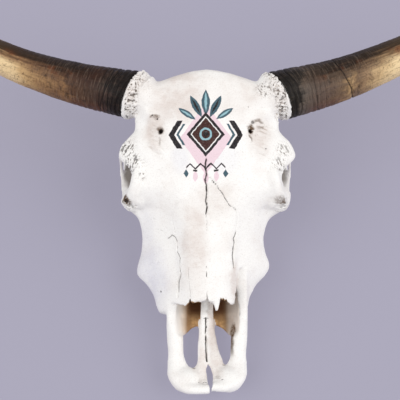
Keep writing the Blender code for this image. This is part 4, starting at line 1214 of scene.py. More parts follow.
def burr_surface(points, bone):
    """Collars round the horns' roots: where they and their pits are, and how far both push."""
    burr = burr_mask(points)
    pits = ease(layered(noise, points, BURR_PITS), *BURR_PIT_EDGE)
    push = burr * bone.burr_height * (layered(crumbs, points, BURR_GRAINS) - pits * BURR_PIT_SHARE)
    return burr, burr * pits, push


def pitted_surface(points, bone):
    """Bone near the eyes: where it and its slanting pits are, and how far both push."""
    pitted = strongest(points, PITTED)
    slanted = np.column_stack([np.abs(points[:, 0]), points[:, 1:]]) @ np.array(PIT_SLANT).T
    pits = layered(noise, slanted, EYE_PITS) + layered(noise, points, EYE_SPECKS)
    pits = ease(pits, *EYE_PIT_EDGE) * pitted
    return pitted, pits, pitted * layered(crumbs, slanted, EYE_RIDGES) - pits * bone.pit_depth


def rippled_surface(points):
    """Waves across the bone: how much painted shade their troughs get, and how far they push."""
    trough = np.zeros(len(points))
    push = np.zeros(len(points))
    for centre, radii, way, pitch, height in RIPPLES.values():
        share = ball_share(points, centre, radii) * height
        phase = points @ np.array(way) / pitch + layered(noise, points, RIPPLE_WOBBLE)
        wave = np.sin(2 * np.pi * phase) * (0.6 + layered(noise, points, RIPPLE_FADE))
        push += share * wave
        trough = np.maximum(trough, share * np.clip(-wave, 0, 1) / SHADED_TROUGH_HEIGHT)
    return trough, push


def forehead_ridge(points):
    x, y, z = points.T
    rounded = np.exp(-((x - RIDGE_MIDDLE) / RIDGE_WIDTH) ** 2)
    return RIDGE_HEIGHT * rounded * ease(y, *RIDGE_START) * (z > RIDGE_LOWEST)


def openings(points):
    """Cracks and holes: how dark they are, and how deep."""
    dark = np.zeros(len(points))
    deep = np.zeros(len(points))
    for line, half_width, depth, darkness in CRACKS.values():
        apart = line_distance(points, line) / half_width
        deep += depth * np.exp(-((apart / CRACK_SLOPE) ** 2))
        dark = np.maximum(dark, darkness * np.exp(-((apart / CRACK_PAINT) ** 4)))
    for centre, radius, depth, darkness in HOLES.values():
        apart = np.linalg.norm(points - np.array(centre), axis=1) / radius
        deep += depth * (1 - ease(apart, *HOLE_SLOPE))
        dark = np.maximum(dark, darkness * (1 - ease(apart, *HOLE_PAINT)))
    return dark, deep


def socket_shade(points, blurred):
    """Shade of the eye sockets and other deep places, off the outside of the sockets' rims."""
    across = np.abs(points[:, 0]) + LEFT_ORBIT_INWARD * (points[:, 0] > 0)
    outside = ease(across, ORBIT_BAR_X - 0.001, ORBIT_BAR_X + 0.002)
    beside = np.abs(points[:, 1]) < SOCKET_HALF_LENGTH
    return strongest(blurred, SHADES) * (1 - outside * beside)


def may_move(points):
    """False where the bone rests on the floor or is inside a sheath."""
    free = points[:, 2] > FLOOR_REST
    for base, outward in horn_roots():
        free &= (points - base) @ outward <= SHEATH_START
    return free


def sculpt(mesh, bone):
    """Push the fine mesh's points along their normals and write the marks that the paint reads."""
    points = read(mesh.vertices, "co", 3)
    normals = read(mesh.vertex_normals, "vector", 3)
    blurred = points + ZONE_DRIFT * drift(points, 0.006, (31, 32, 33))
    burr, burr_pits, burr_push = burr_surface(points, bone)
    pitted, pits, pitted_push = pitted_surface(points, bone)
    trough, ripple_push = rippled_surface(points)
    crack, crack_depth = openings(points + LINE_DRIFT * drift(points, 0.0035, (1, 2, 3)))
    # Stains, and painted shadow behind the muzzle's rims
    stain = strongest(blurred, STAINS_AND_SHADOWS)

    push = layered(noise, points, UNEVENNESS) + burr_push + pitted_push + ripple_push
    push += forehead_ridge(points) - crack_depth - STAIN_DEPTH * ease(stain, 0.6, 1.0)
    moved = points + normals * (push * may_move(points))[:, None]
    mesh.vertices.foreach_set("co", moved.ravel())
    mesh.update()

    rough = np.maximum(burr, pitted)
    # Painted shade with dirt in hollows and in the ripples' troughs, more of it on rough bone
    cavity = np.clip(hollowness(mesh, moved, normals) / SHADE_AND_DIRT_DEPTH, 0, 1) * (0.30 + 0.70 * rough)
    pit_paint = np.maximum(PIT_DARKNESS * pits * ease(pitted, 0.25, 0.7), BURR_PIT_DARKNESS * burr_pits)
    marks = {"crack": np.maximum(crack, pit_paint), "stain": stain, "shade": socket_shade(points, blurred),
             "nose": nose_mark(points, normals), "rough": rough,
             "cavity": np.maximum(cavity, 0.60 * trough), "tan": strongest(blurred, TAN_TONES),
             "cool": strongest(blurred, COOL_TONES)}
    for name, values in marks.items():
        mesh.attributes.new(name, "FLOAT", "POINT").data.foreach_set("value", values.astype(np.float32))


def cranium_mesh(bone):
    made = new_object("bone_stack", bone_solids())
    helpers = [made]

    def helper(name, bm):
        helpers.append(new_object(name, bm))
        return helpers[-1]

    cutter = helper("bone_hollows", hollows())
    add_remesh(cutter, bone.skin_voxel)
    add_remesh(made, bone.skin_voxel)
    add_boolean(made, cutter, "DIFFERENCE")
    for name, bm in nose_walls().items():
        add_boolean(made, helper(name, bm), "UNION")
    add_remesh(made, bone.skin_voxel)
    soften = made.modifiers.new("Soften", "SMOOTH")
    soften.factor = 0.5
    soften.iterations = bone.softening_steps
    thin = made.modifiers.new("Thin", "DECIMATE")
    thin.ratio = bone.kept_share
    add_boolean(made, helper("nasal_edge", nasal_edge_cutter()), "DIFFERENCE")
    add_boolean(made, helper("horn_cores", horn_cores()), "UNION")
    add_boolean(made, helper("tooth_sockets", tooth_sockets()), "DIFFERENCE")
    ground = bmesh.new()
    centre, size = GROUND_BLOCK
    bmesh.ops.create_cube(ground, size=1.0, matrix=Matrix.Translation(centre)
                          @ Matrix.Diagonal((*size, 1)))
    add_boolean(made, helper("ground", ground), "DIFFERENCE")
    mesh = baked_mesh(made)
    for old in helpers:
        bpy.data.objects.remove(old)
    mesh.transform(TO_CENTRE)
    mesh = refine(mesh, bone)
    sculpt(mesh, bone)
    return mesh


# Node wiring

class Signal:
    """A node's output, with which sums can be written as with a number."""

    def __init__(self, wires, socket):
        self.wires = wires
        self.socket = socket

    def __add__(self, other):
        return self.wires.math("ADD", self, other)

    def __sub__(self, other):
        return self.wires.math("SUBTRACT", self, other)

    def __rsub__(self, other):
        return self.wires.math("SUBTRACT", other, self)

    def __mul__(self, other):
        return self.wires.math("MULTIPLY", self, other)

    def __truediv__(self, other):
        return self.wires.math("DIVIDE", self, other)

    def __abs__(self):
        return self.wires.math("ABSOLUTE", self)


class Wires:
    """Short ways to add nodes to a tree. Each gives an output of the new node as a signal."""

    def __init__(self, tree):
        self.tree = tree

    def node(self, kind, inputs=None, **settings):
        """The new node itself, for what the other ways don't reach."""
        made = self.tree.nodes.new(kind)
        for name, value in settings.items():
            setattr(made, name, value)
        for name, value in (inputs or {}).items():
            self.feed(made.inputs[name], value)
        return made

    def added(self, kind, inputs=None, which=0, **settings):
        return Signal(self, self.node(kind, inputs, **settings).outputs[which])

    def feed(self, socket, value):
        if isinstance(value, Signal):
            self.tree.links.new(value.socket, socket)
        else:
            socket.default_value = value

    def math(self, operation, *values, clamp=False):
        return self.added("ShaderNodeMath", dict(enumerate(values)), operation=operation, use_clamp=clamp)

    def vector(self, operation, *values, which=0):
        return self.added("ShaderNodeVectorMath", dict(enumerate(values)), which, operation=operation)

    def scaled(self, vector, amount):
        return self.added("ShaderNodeVectorMath", {0: vector, "Scale": amount}, operation="SCALE")

    def joined(self, *parts):
        return self.added("ShaderNodeCombineXYZ", dict(enumerate(parts)))

    def split(self, vector):
        outputs = self.node("ShaderNodeSeparateXYZ", {0: vector}).outputs
        return [Signal(self, socket) for socket in outputs]

    def ramp(self, value, low, high, to_low=0.0, to_high=1.0):
        """Smooth step from low to high."""
        return self.added("ShaderNodeMapRange", {0: value, 1: low, 2: high, 3: to_low, 4: to_high},
                          interpolation_type="SMOOTHSTEP")

    def noise(self, vector, scale, detail=2.0, roughness=0.5, distortion=0.0):
        return self.added("ShaderNodeTexNoise", {"Vector": vector, "Scale": scale, "Detail": detail,
                                                 "Roughness": roughness, "Distortion": distortion}, "Fac")

    def streaks(self, vector, scales, *looks):
        """Noise with a scale of its own along each axis."""
        return self.noise(self.vector("MULTIPLY", vector, scales), 1.0, *looks)

    def mix(self, share, first, second):
        return self.added("ShaderNodeMix", {0: share, 6: first, 7: second}, 2, data_type="RGBA")

    def stops(self, value, line, reach):
        """Colour that follows (place, red, green, blue) stops, with places as far apart as reach."""
        made = self.node("ShaderNodeValToRGB", {0: value})
        elements = made.color_ramp.elements
        tones = [(place / reach, tone(*shade)) for place, *shade in line]
        for element, (place, shade) in zip(elements, (tones[0], tones[-1])):
            element.position = place
            element.color = shade
        for place, shade in tones[1:-1]:
            elements.new(place).color = shade
        return Signal(self, made.outputs[0])

    def attribute(self, name, which="Fac"):
        return self.added("ShaderNodeAttribute", which=which, attribute_name=name)

    def group(self, tree, inputs):
        """Add a node group; gives its outputs by name."""
        made = self.node("ShaderNodeGroup", inputs, node_tree=tree)
        return {socket.name: Signal(self, socket) for socket in made.outputs}


class Group(Wires):
    """Node group with named sockets, given as (kind, value) by name."""

    def __init__(self, name, inputs, outputs, kind="ShaderNodeTree"):
        super().__init__(bpy.data.node_groups.new(name, kind))
        for way, sockets in (("INPUT", inputs), ("OUTPUT", outputs)):
            for label, (socket_kind, value) in sockets.items():
                socket = self.tree.interface.new_socket(label, in_out=way,
                                                        socket_type=f"NodeSocket{socket_kind}")
                if value is not None:
                    socket.default_value = value
        self.start = self.tree.nodes.new("NodeGroupInput")
        self.end = self.tree.nodes.new("NodeGroupOutput")

    def given(self, name):
        return Signal(self, self.start.outputs[name])

    def giving(self, **values):
        """The tree, with its outputs fed."""
        for name, value in values.items():
            self.feed(self.end.inputs[name], value)
        return self.tree


class Paint(Wires):
    """Material whose colour is laid on in layers before its shader is fed."""

    def __init__(self, name, colour=None):
        self.material = bpy.data.materials.new(name)
        self.material.use_nodes = True
        super().__init__(self.material.node_tree)
        self.colour = colour

    def lay(self, share, colour):
        """Cover what is there with a share of another colour."""
        self.colour = self.mix(share, self.colour, colour)

    def finished(self, relief, strength, depth, roughness, specular=0.5):
        bump = self.added("ShaderNodeBump", {"Height": relief, "Strength": strength, "Distance": depth},
                          "Normal")
        return self.shaded({"Base Color": self.colour, "Normal": bump, "Roughness": roughness,
                            "Specular IOR Level": specular})

    def shaded(self, values):
        shader = self.tree.nodes["Principled BSDF"]
        for name, value in values.items():
            self.feed(shader.inputs[name], value)
        return self.material


def tone(red, green, blue):
    """Linear colour of a colour given as it shows on a screen, 0 to 255."""
    shares = [value / 255 for value in (red, green, blue)]
    linear = [share / 12.92 if share <= 0.04045 else ((share + 0.055) / 1.055) ** 2.4 for share in shares]
    return (*linear, 1.0)


# Effects that several finishes share

def surface_grain():
    """Fine uneven surface: a height for bump and a soft mask of the same grain."""
    group = Group("surface_grain", {"Vector": ("Vector", None), "Grain Scale": ("Float", 400.0),
                                    "Wave Scale": ("Float", 60.0)},
                  {"Height": ("Float", None), "Mask": ("Float", None)})
    fine = group.noise(group.given("Vector"), group.given("Grain Scale"), 3.0, 0.6)
    broad = group.noise(group.given("Vector"), group.given("Wave Scale"), 2.0, 0.5)
    return group.giving(Height=fine * 0.35 + broad, Mask=group.ramp(broad, 0.40, 0.62))


def speckles():
    """Scattered dots: 1 in a dot, 0 elsewhere."""
    group = Group("speckles", {"Vector": ("Vector", None), "Scale": ("Float", 300.0),
                               "Amount": ("Float", 0.2)}, {"Mask": ("Float", None)})
    spots = group.node("ShaderNodeTexVoronoi", {"Vector": group.given("Vector"),
                                                "Scale": group.given("Scale")})
    near = group.ramp(Signal(group, spots.outputs["Distance"]), 0.34, 0.12)
    pick = group.split(Signal(group, spots.outputs["Color"]))[0]
    return group.giving(Mask=near * group.math("LESS_THAN", pick, group.given("Amount")))


# Painted design on the forehead

class Motifs:
    """Flat shapes on a plane, in millimetres. Each is positive inside and negative outside."""

    def __init__(self, wires, across, up):
        self.wires = wires
        self.across = across
        self.up = up

    def least(self, first, second):
        return self.wires.math("MINIMUM", first, second)

    def shifted(self, centre, turn=0.0):
        x = self.across - centre[0]
        y = self.up - centre[1]
        if not turn:
            return x, y
        c, s = math.cos(turn), math.sin(turn)
        return x * c + y * s, y * c - x * s

    def diamond(self, centre, half_wide, half_high):
        x, y = self.shifted(centre)
        spread = abs(x) * (1 / half_wide) + abs(y) * (1 / half_high)
        return (1.0 - spread) * min(half_wide, half_high)

    def leaf(self, centre, degrees, half_wide, half_high):
        """Long shape with a point at each end."""
        x, y = self.shifted(centre, math.radians(degrees))
        reach = y * (1 / half_high)
        return (1.0 - reach * reach) * half_wide - abs(x)

    def ring(self, centre, radius, half_thick):
        x, y = self.shifted(centre)
        return half_thick - abs(self.wires.math("SQRT", x * x + y * y) - radius)

    def chevron(self, tip, slope, half_high, thick):
        """Arrow bar whose tip points away from the middle line."""
        x, y = self.shifted(tip)
        back = x + abs(y) * slope
        return self.least(self.least(back * -1.0, back + thick), half_high - abs(y))

    def bar(self, centre, half_wide, half_high):
        x, y = self.shifted(centre)
        return self.least(half_wide - abs(x), half_high - abs(y))

    def zigzag(self, level, pitch, rise, half_thick, half_wide):
        line = self.wires.math("PINGPONG", self.across, pitch) * (rise / pitch) + (level - rise / 2)
        return self.least(half_thick - abs(self.up - line), half_wide - self.across)


DESIGN_CENTRE_MM = (-2.0, 22.0)
DESIGN_EDGE_MM = 0.45
DESIGN_COLOURS = {
    "black": tone(22, 20, 26),
    "teal": tone(62, 92, 104),
    "light_blue": tone(150, 190, 200),
    "brown": tone(62, 30, 26),
    "pink": tone(238, 214, 222),
    "white": tone(244, 242, 240),
}
# Layers from the lowest to the topmost: colour, motif and what it is told
DESIGN_LAYERS = (
    ("pink", Motifs.diamond, (0, -4), 40, 52),
    ("teal", Motifs.leaf, (0, 50), 0, 6.5, 20),
    ("light_blue", Motifs.leaf, (0, 51), 0, 2.2, 15),
    ("teal", Motifs.leaf, (15, 44), -28, 5.5, 19),
    ("black", Motifs.leaf, (15, 44), -28, 1.6, 13),
    ("teal", Motifs.leaf, (29, 33), -56, 4.5, 16),
    ("light_blue", Motifs.leaf, (29, 33), -56, 1.4, 11),
    ("black", Motifs.chevron, (57, 2), 0.62, 21, 9),
    ("teal", Motifs.chevron, (45, 2), 0.62, 16, 4),
    ("black", Motifs.diamond, (0, 2), 29, 33),
    ("white", Motifs.diamond, (0, 2), 23.5, 27),
    ("brown", Motifs.diamond, (0, 2), 21.5, 24.5),
    ("light_blue", Motifs.ring, (0, 2), 8.0, 1.5),
    ("black", Motifs.diamond, (0, 2), 4.6, 5.6),
    ("black", Motifs.zigzag, -44, 8, 7, 1.4, 30),
    ("pink", Motifs.leaf, (0, -60), 0, 4.5, 9),
    ("pink", Motifs.leaf, (16, -58), 0, 3.8, 8),
    ("black", Motifs.bar, (16, -50), 3.6, 1.4),
    ("teal", Motifs.diamond, (30, -54), 4.2, 6.0),
)


def forehead_design():
    """Geometric pattern in brushed paint, the same on both sides of the middle line."""
    group = Group("forehead_design", {"Vector": ("Vector", None)},
                  {"Colour": ("Color", None), "Mask": ("Float", None)})
    spot = group.given("Vector")
    shake = group.added("ShaderNodeTexNoise", {"Vector": spot, "Scale": 170.0, "Detail": 1.0}, "Color")
    shake = group.vector("MULTIPLY", group.vector("SUBTRACT", shake, (0.5, 0.5, 0.5)), (0.0022,) * 3)
    x, y, _ = group.split(group.vector("MULTIPLY", group.vector("ADD", spot, shake), (1000.0,) * 3))
    motifs = Motifs(group, abs(x - DESIGN_CENTRE_MM[0]), y - DESIGN_CENTRE_MM[1])
    colour = DESIGN_COLOURS["pink"]
    mask = 0.0
    for paint, motif, *sizes in DESIGN_LAYERS:
        here = group.ramp(motif(motifs, *sizes), -DESIGN_EDGE_MM, DESIGN_EDGE_MM)
        colour = group.mix(here, colour, DESIGN_COLOURS[paint])
        mask = group.math("MAXIMUM", here, mask)
    strokes = group.streaks(spot, (260.0, 900.0, 260.0), 2.0, 0.6)
    pale = group.ramp(strokes, 0.55, 0.80, 0.0, 0.10)
    return group.giving(Colour=group.mix(pale, colour, DESIGN_COLOURS["white"]),
                        Mask=mask * group.ramp(strokes, 0.26, 0.36, 0.80, 1.0))


# Finishes

# Tones of the nose's side walls by distance from the middle in millimetres: right wall, then left. They are
# pale at the rim and darker inward, the darkening partly painted shade
NOSE_TONES_REACH_MM = 55
NOSE_WALL_TONES = (
    ((24, 96, 60, 30), (30, 150, 116, 84), (34.5, 214, 192, 170), (39, 242, 230, 218),
     (46, 252, 248, 243)),
    ((21, 88, 57, 29), (28, 124, 100, 76), (33.5, 178, 162, 148), (40, 206, 193, 182),
     (46, 226, 216, 206)),
)


# The design is painted only above this height
DESIGN_LOWEST = 0.130


def bone_paint(bone, grain, dots):
    """Chalky white paint over bone, with the design, dirt and painted shade in the hollows, painted shade
    in the eye sockets and a brown nose that darkens inward, partly as painted shade.
    """
    paint = Paint("painted_bone", bone.paint_colour)
    spot = paint.added("ShaderNodeTexCoord", which="Object")
    across, _, height = paint.split(spot)
    broad = paint.noise(spot, 26.0, 4.0, 0.62)
    patchy = paint.ramp(broad, 0.36, 0.62, 0.45, 1.0)
    tan = paint.attribute("tan")
    paint.lay(paint.ramp(broad, 0.46, 0.70, 0.0, 0.22), bone.warm_colour)
    # Warm and lavender tints, with painted shade on the nasal's right strip and the right jaw
    paint.lay(tan * patchy, bone.warm_colour)
    paint.lay(paint.attribute("cool") * patchy, bone.cool_colour)
    streaks = paint.streaks(spot, (90.0, 620.0, 120.0), 3.0, 0.6)
    paint.lay(paint.ramp(streaks, 0.50, 0.72, 0.0, 0.12) * tan, bone.dirt_and_shade_colour)

    design = paint.group(forehead_design(), {"Vector": spot})
    upward = paint.split(paint.added("ShaderNodeNewGeometry", which="Normal"))[2]
    on_forehead = paint.ramp(upward, 0.30, 0.45) * paint.math("GREATER_THAN", height, DESIGN_LOWEST)
    paint.lay(design["Mask"] * on_forehead, design["Colour"])

    pores = paint.noise(spot, 520.0, 4.0, 0.62)
    rough_pores = paint.ramp(pores, 0.56, 0.66) * paint.attribute("rough")
    loose_dots = paint.group(dots, {"Vector": spot, "Scale": 260.0, "Amount": 0.04})["Mask"]
    # Dirt in pores and dots, and painted shade with dirt in the hollows
    for dirt_and_shade_share in (rough_pores * 0.50, paint.ramp(pores, 0.50, 0.66, 0.0, 0.13), loose_dots * 0.20,
                 paint.ramp(paint.attribute("cavity"), 0.15, 1.0, 0.0, 0.50)):
        paint.lay(dirt_and_shade_share, bone.dirt_and_shade_colour)
    # Painted shade in the eye sockets and on the left nose wall
    paint.lay(paint.ramp(paint.attribute("shade"), 0.15, 0.80) * 0.85, bone.shade_colour)

    # Inside the nose: golden bone that turns brown deeper in, and walls pale at the rim and darker inward;
    # the darkening inward is partly painted shade
    nose = paint.attribute("nose")
    deep = paint.mix(paint.ramp(nose, 0.50, 0.92), bone.nose_colour, bone.deep_nose_brown_and_shade_colour)
    patches = paint.ramp(paint.noise(spot, 150.0, 3.0, 0.6), 0.35, 0.65, 0.0, 0.35)
    deep = paint.mix(patches, deep, bone.deep_nose_brown_and_shade_colour)
    walls = [paint.stops(abs(across) * (1000 / NOSE_TONES_REACH_MM), line, NOSE_TONES_REACH_MM)
             for line in NOSE_WALL_TONES]
    wall = paint.mix(paint.math("GREATER_THAN", across, 0.0), *walls)
    deep = paint.mix(paint.ramp(abs(across), 0.021, 0.034), deep, wall)
    paint.lay(paint.ramp(nose, 0.01, 0.30), deep)

    mottle = paint.ramp(paint.noise(spot, 260.0, 3.0, 0.65), 0.36, 0.52, 0.40, 1.0)
    # Stains with painted shadow behind the muzzle's rims, then cracks and pits with painted shadow lines in
    # the creases behind the rims
    paint.lay(paint.ramp(paint.attribute("stain"), 0.05, 0.8) * mottle, bone.stain_and_shadow_colour)
    paint.lay(paint.ramp(paint.attribute("crack"), 0.10, 1.0), bone.crack_and_shadow_colour)

    surface = paint.group(grain, {"Vector": spot, "Grain Scale": 620.0, "Wave Scale": 110.0})
    brush = paint.streaks(spot, (110.0, 420.0, 200.0), 3.0, 0.6)
    relief = surface["Height"] + brush * 0.55 - rough_pores * 0.9
    return paint.finished(relief, 0.55, 0.0010, paint.ramp(surface["Mask"], 0.0, 1.0, 0.58, 0.78), 0.35)


# Tones along each horn by distance from its root in millimetres: the lower side, then the upper side
HORN_TONES = {
    "right": (((0, 20, 14, 13), (20, 28, 20, 18), (27, 56, 42, 38), (45, 64, 47, 40), (70, 76, 54, 41),
        (98, 92, 65, 47), (110, 140, 104, 70), (122, 120, 88, 62), (150, 160, 124, 86),
        (178, 200, 164, 116), (205, 238, 208, 160), (300, 232, 208, 168), (420, 206, 180, 140),
        (480, 104, 84, 70), (560, 44, 36, 34)),
        ((0, 18, 13, 12), (24, 30, 22, 20), (55, 64, 40, 31), (90, 74, 49, 36), (130, 94, 66, 48),
        (165, 116, 84, 60), (210, 150, 114, 80), (300, 196, 168, 130), (420, 180, 150, 114),
        (480, 96, 76, 62), (560, 44, 36, 34))),
    "left": (((0, 28, 26, 23), (22, 38, 34, 30), (30, 94, 84, 76), (65, 98, 80, 70), (90, 116, 93, 72),
        (104, 180, 146, 104), (116, 120, 95, 72), (140, 158, 128, 96), (165, 212, 180, 134),
        (192, 244, 216, 168), (300, 232, 208, 168), (420, 206, 180, 140), (480, 104, 84, 70),
        (560, 44, 36, 34)),
        ((0, 24, 22, 20), (26, 42, 37, 33), (34, 80, 66, 56), (70, 72, 57, 46), (110, 84, 64, 49),
        (145, 106, 82, 61), (185, 140, 110, 79), (215, 176, 144, 106), (300, 196, 168, 130),
        (420, 180, 150, 114), (480, 96, 76, 62), (560, 44, 36, 34))),
}


def horn_paint(side, horn, grain, base_tone):
    """Dark ringed root, red-brown middle, creamy lower side, dark upper edge and dark tip."""
    paint = Paint(f"horn_{side}")
    strand = paint.attribute("strand", "Vector")
    away = paint.split(strand)[2]
    under = paint.attribute("under")
    streaks = paint.streaks(strand, (150.0, 150.0, 11.0), 4.0, 0.62)
    blotch = paint.streaks(strand, (30.0, 30.0, 16.0), 3.0, 0.6)
    shifted = away + under * 0.010 + (blotch - 0.5) * 0.075 + (streaks - 0.5) * 0.030
    share = shifted * (1 / HORN_LENGTH)
    lower, upper = (paint.stops(share, line, 1000 * HORN_LENGTH) for line in HORN_TONES[side])
    turned = under + (streaks - 0.5) * 0.9
    paint.colour = paint.mix(paint.ramp(turned, -0.20, -0.75), lower, upper)
    edge = paint.ramp(turned, -0.58, -0.90) * paint.ramp(away, 0.04, 0.10, 0.3, 0.88)
    paint.lay(edge, horn.edge_colour)
    rust = paint.ramp(blotch, 0.50, 0.62) * paint.ramp(abs(under + 0.66), 0.26, 0.06)
    paint.lay(rust * paint.ramp(away, 0.045, 0.10) * 0.60, horn.rust_colour)
    red = paint.ramp(under, 0.15, 0.75) * paint.ramp(abs(away - 0.065), 0.045, 0.015)
    paint.lay(red * 0.55, horn.red_colour)
    hairs = paint.streaks(strand, (420.0, 420.0, 60.0), 2.0, 0.6)
    paint.lay(paint.ramp(hairs, 0.50, 0.68, 0.0, 0.36), base_tone)
    scuffs = paint.streaks(strand, (42.0, 42.0, 880.0), 3.0, 0.6)
    scuffed = paint.ramp(away, 0.22, 0.08) * paint.ramp(away, 0.005, 0.040, 0.25, 1.0)
    paint.lay(paint.ramp(scuffs, 0.50, 0.72, 0.0, 0.30) * scuffed, horn.scuff_colour)
    crackle = paint.streaks(strand, (230.0, 230.0, 300.0), 4.0, 0.7)
    paint.lay(paint.ramp(crackle, 0.47, 0.32, 0.0, 0.62) * paint.ramp(away, 0.03, 0.09),
              horn.crackle_colour)
    wood = paint.streaks(strand, (70.0, 70.0, 150.0), 6.0, 0.72, 0.8)
    paint.lay(paint.ramp(wood, 0.50, 0.64, 0.0, 0.48) * paint.ramp(away, 0.20, 0.12), horn.groove_colour)
    paint.lay(paint.ramp(paint.attribute("ring"), 0.15, 0.95, 0.0, 0.85), horn.groove_colour)
    surface = paint.group(grain, {"Vector": strand, "Grain Scale": 900.0, "Wave Scale": 160.0})
    relief = hairs * 0.8 + scuffs * 0.9 + surface["Height"] * 0.4
    return paint.finished(relief, 0.60, 0.0010, paint.ramp(streaks, 0.25, 0.75, 0.34, 0.56), 0.16)


def tooth_paint(tooth, grain, dots):
    paint = Paint("tooth", tooth.enamel_colour)
    spot = paint.added("ShaderNodeTexCoord", which="Object")
    worn = paint.streaks(spot, (400.0, 400.0, 60.0), 3.0, 0.6)
    paint.lay(paint.ramp(paint.split(spot)[2], 0.004, 0.020), tooth.root_colour)
    paint.lay(paint.ramp(worn, 0.45, 0.70, 0.0, 0.7), tooth.tartar_colour)
    pits = paint.group(dots, {"Vector": spot, "Scale": 500.0, "Amount": 0.12})["Mask"]
    paint.lay(pits * 0.6, tooth.tartar_colour)
    surface = paint.group(grain, {"Vector": spot, "Grain Scale": 900.0, "Wave Scale": 220.0})
    return paint.finished(surface["Height"] + worn, 0.35, 0.0006, paint.ramp(worn, 0.3, 0.8, 0.30, 0.55))


# Horn sheath as geometry nodes

# Direction of the horns' lower side, where they are palest
LOW_SIDE = (0.0, -0.62, -0.78)
# The tip's and the seam's points are merged within this distance
MERGE_DISTANCE = 0.00003
# The steps along a horn are closer together at its root the further this is above 1
ROOT_CROWDING = 1.15
# Radius of the socket's wall at shares of the way in
SOCKET_WALL = CORE_RADIUS + SOCKET_SLACK
SOCKET_RADII = ((0.0, SOCKET_WALL), (0.5, (SOCKET_WALL + CORE_TIP_RADIUS) / 2 + 0.0005),
    (0.93, CORE_TIP_RADIUS + SOCKET_SLACK), (0.97, CORE_TIP_RADIUS * 0.8), (1.0, 0.0))
SOCKET_LENGTH_SHARE = CORE_LENGTH_SHARE * 1.06
# Number inputs of the sheath's node group, with what they start as
SHEATH_NUMBERS = {"Ring Pitch": 0.0075, "Ring Height": 0.0007, "Ring Reach": 0.11, "Deep Ring": 0.05,
    "Flute Height": 0.0004, "Seed": 0.0, "Rim Lean": RIM_LEAN}
LUMP_HEIGHT = 0.0022
# The rim at the root is drawn in by so much, over so much of the horn
LIP_DEPTH = 0.0006
LIP_LENGTH = 0.0045


def radius_along(wires, share, line):
    """Radius that follows (share, radius) pairs smoothly."""
    node = wires.node("ShaderNodeFloatCurve", {"Value": share})
    curve = node.mapping.curves[0]
    while len(curve.points) > 2:
        curve.points.remove(curve.points[1])
    for point, (place, radius) in zip(curve.points, (line[0], line[-1])):
        point.location = (place, radius / HORN_WIDEST)
    for place, radius in line[1:-1]:
        curve.points.new(place, radius / HORN_WIDEST)
    for point in curve.points:
        point.handle_type = "AUTO_CLAMPED"
    node.mapping.update()
    return Signal(wires, node.outputs[0]) * HORN_WIDEST


def sheath_group(side):
    inputs = {"Geometry": ("Geometry", None), "Sides": ("Int", 128), "Rings": ("Int", 420),
              **{name: ("Float", value) for name, value in SHEATH_NUMBERS.items()},
              **{name: ("Vector", None) for name in ("Rim Ahead", "Rim Back", "Root")},
              "Material": ("Material", None)}
    return Group(f"horn_sheath_{side}", inputs, {"Geometry": ("Geometry", None)}, "GeometryNodeTree")


def curve_frame(group, share, cosine, sine):
    """Point on the horn's line at a share of its length, and the direction from it to the skin."""
    line = group.node("GeometryNodeSampleCurve", {"Curves": group.given("Geometry"), "Factor": share},
                      mode="FACTOR", use_all_curves=True)
    position, tangent, normal = (Signal(group, line.outputs[name])
                                 for name in ("Position", "Tangent", "Normal"))
    sideways = group.vector("CROSS_PRODUCT", tangent, normal)
    return position, group.vector("ADD", group.scaled(normal, cosine), group.scaled(sideways, sine))


def ring_groove(group, spot, distance, low, not_tip):
    """How deep the skin is in the grooves between growth rings, from 0 to 1."""
    given = group.given
    wobble = group.streaks(spot, (18.0, 18.0, 22.0), 2.0)
    phase = distance / given("Ring Pitch") + wobble * 2.6
    wave = abs(group.math("SINE", phase * math.pi))
    chosen = group.noise(group.joined(given("Seed"), 0.0, phase * 0.9), 1.0, 1.0)
    ringed = group.math("ADD", 0.12, group.ramp(distance, given("Ring Reach"), 0.02), clamp=True)
    groove = group.math("POWER", 1.0 - wave, 1.7) * group.ramp(chosen, 0.32, 0.52) * ringed * not_tip
    off_ring = abs(distance - low * 0.009 + (wobble - 0.5) * 0.014 - given("Deep Ring"))
    return group.math("MAXIMUM", groove, group.ramp(off_ring, 0.0020, 0.0003, 0.0, 0.85))


def flutes_and_lumps(group, spot, not_tip):
    """Height of the lengthwise flutes and the lumps between them."""
    flute = group.streaks(spot, (120.0, 120.0, 8.0), 3.0, 0.55)
    lumps = group.streaks(spot, (40.0, 40.0, 55.0), 3.0, 0.6)
    return ((flute - 0.5) * group.given("Flute Height") + (lumps - 0.5) * LUMP_HEIGHT) * not_tip


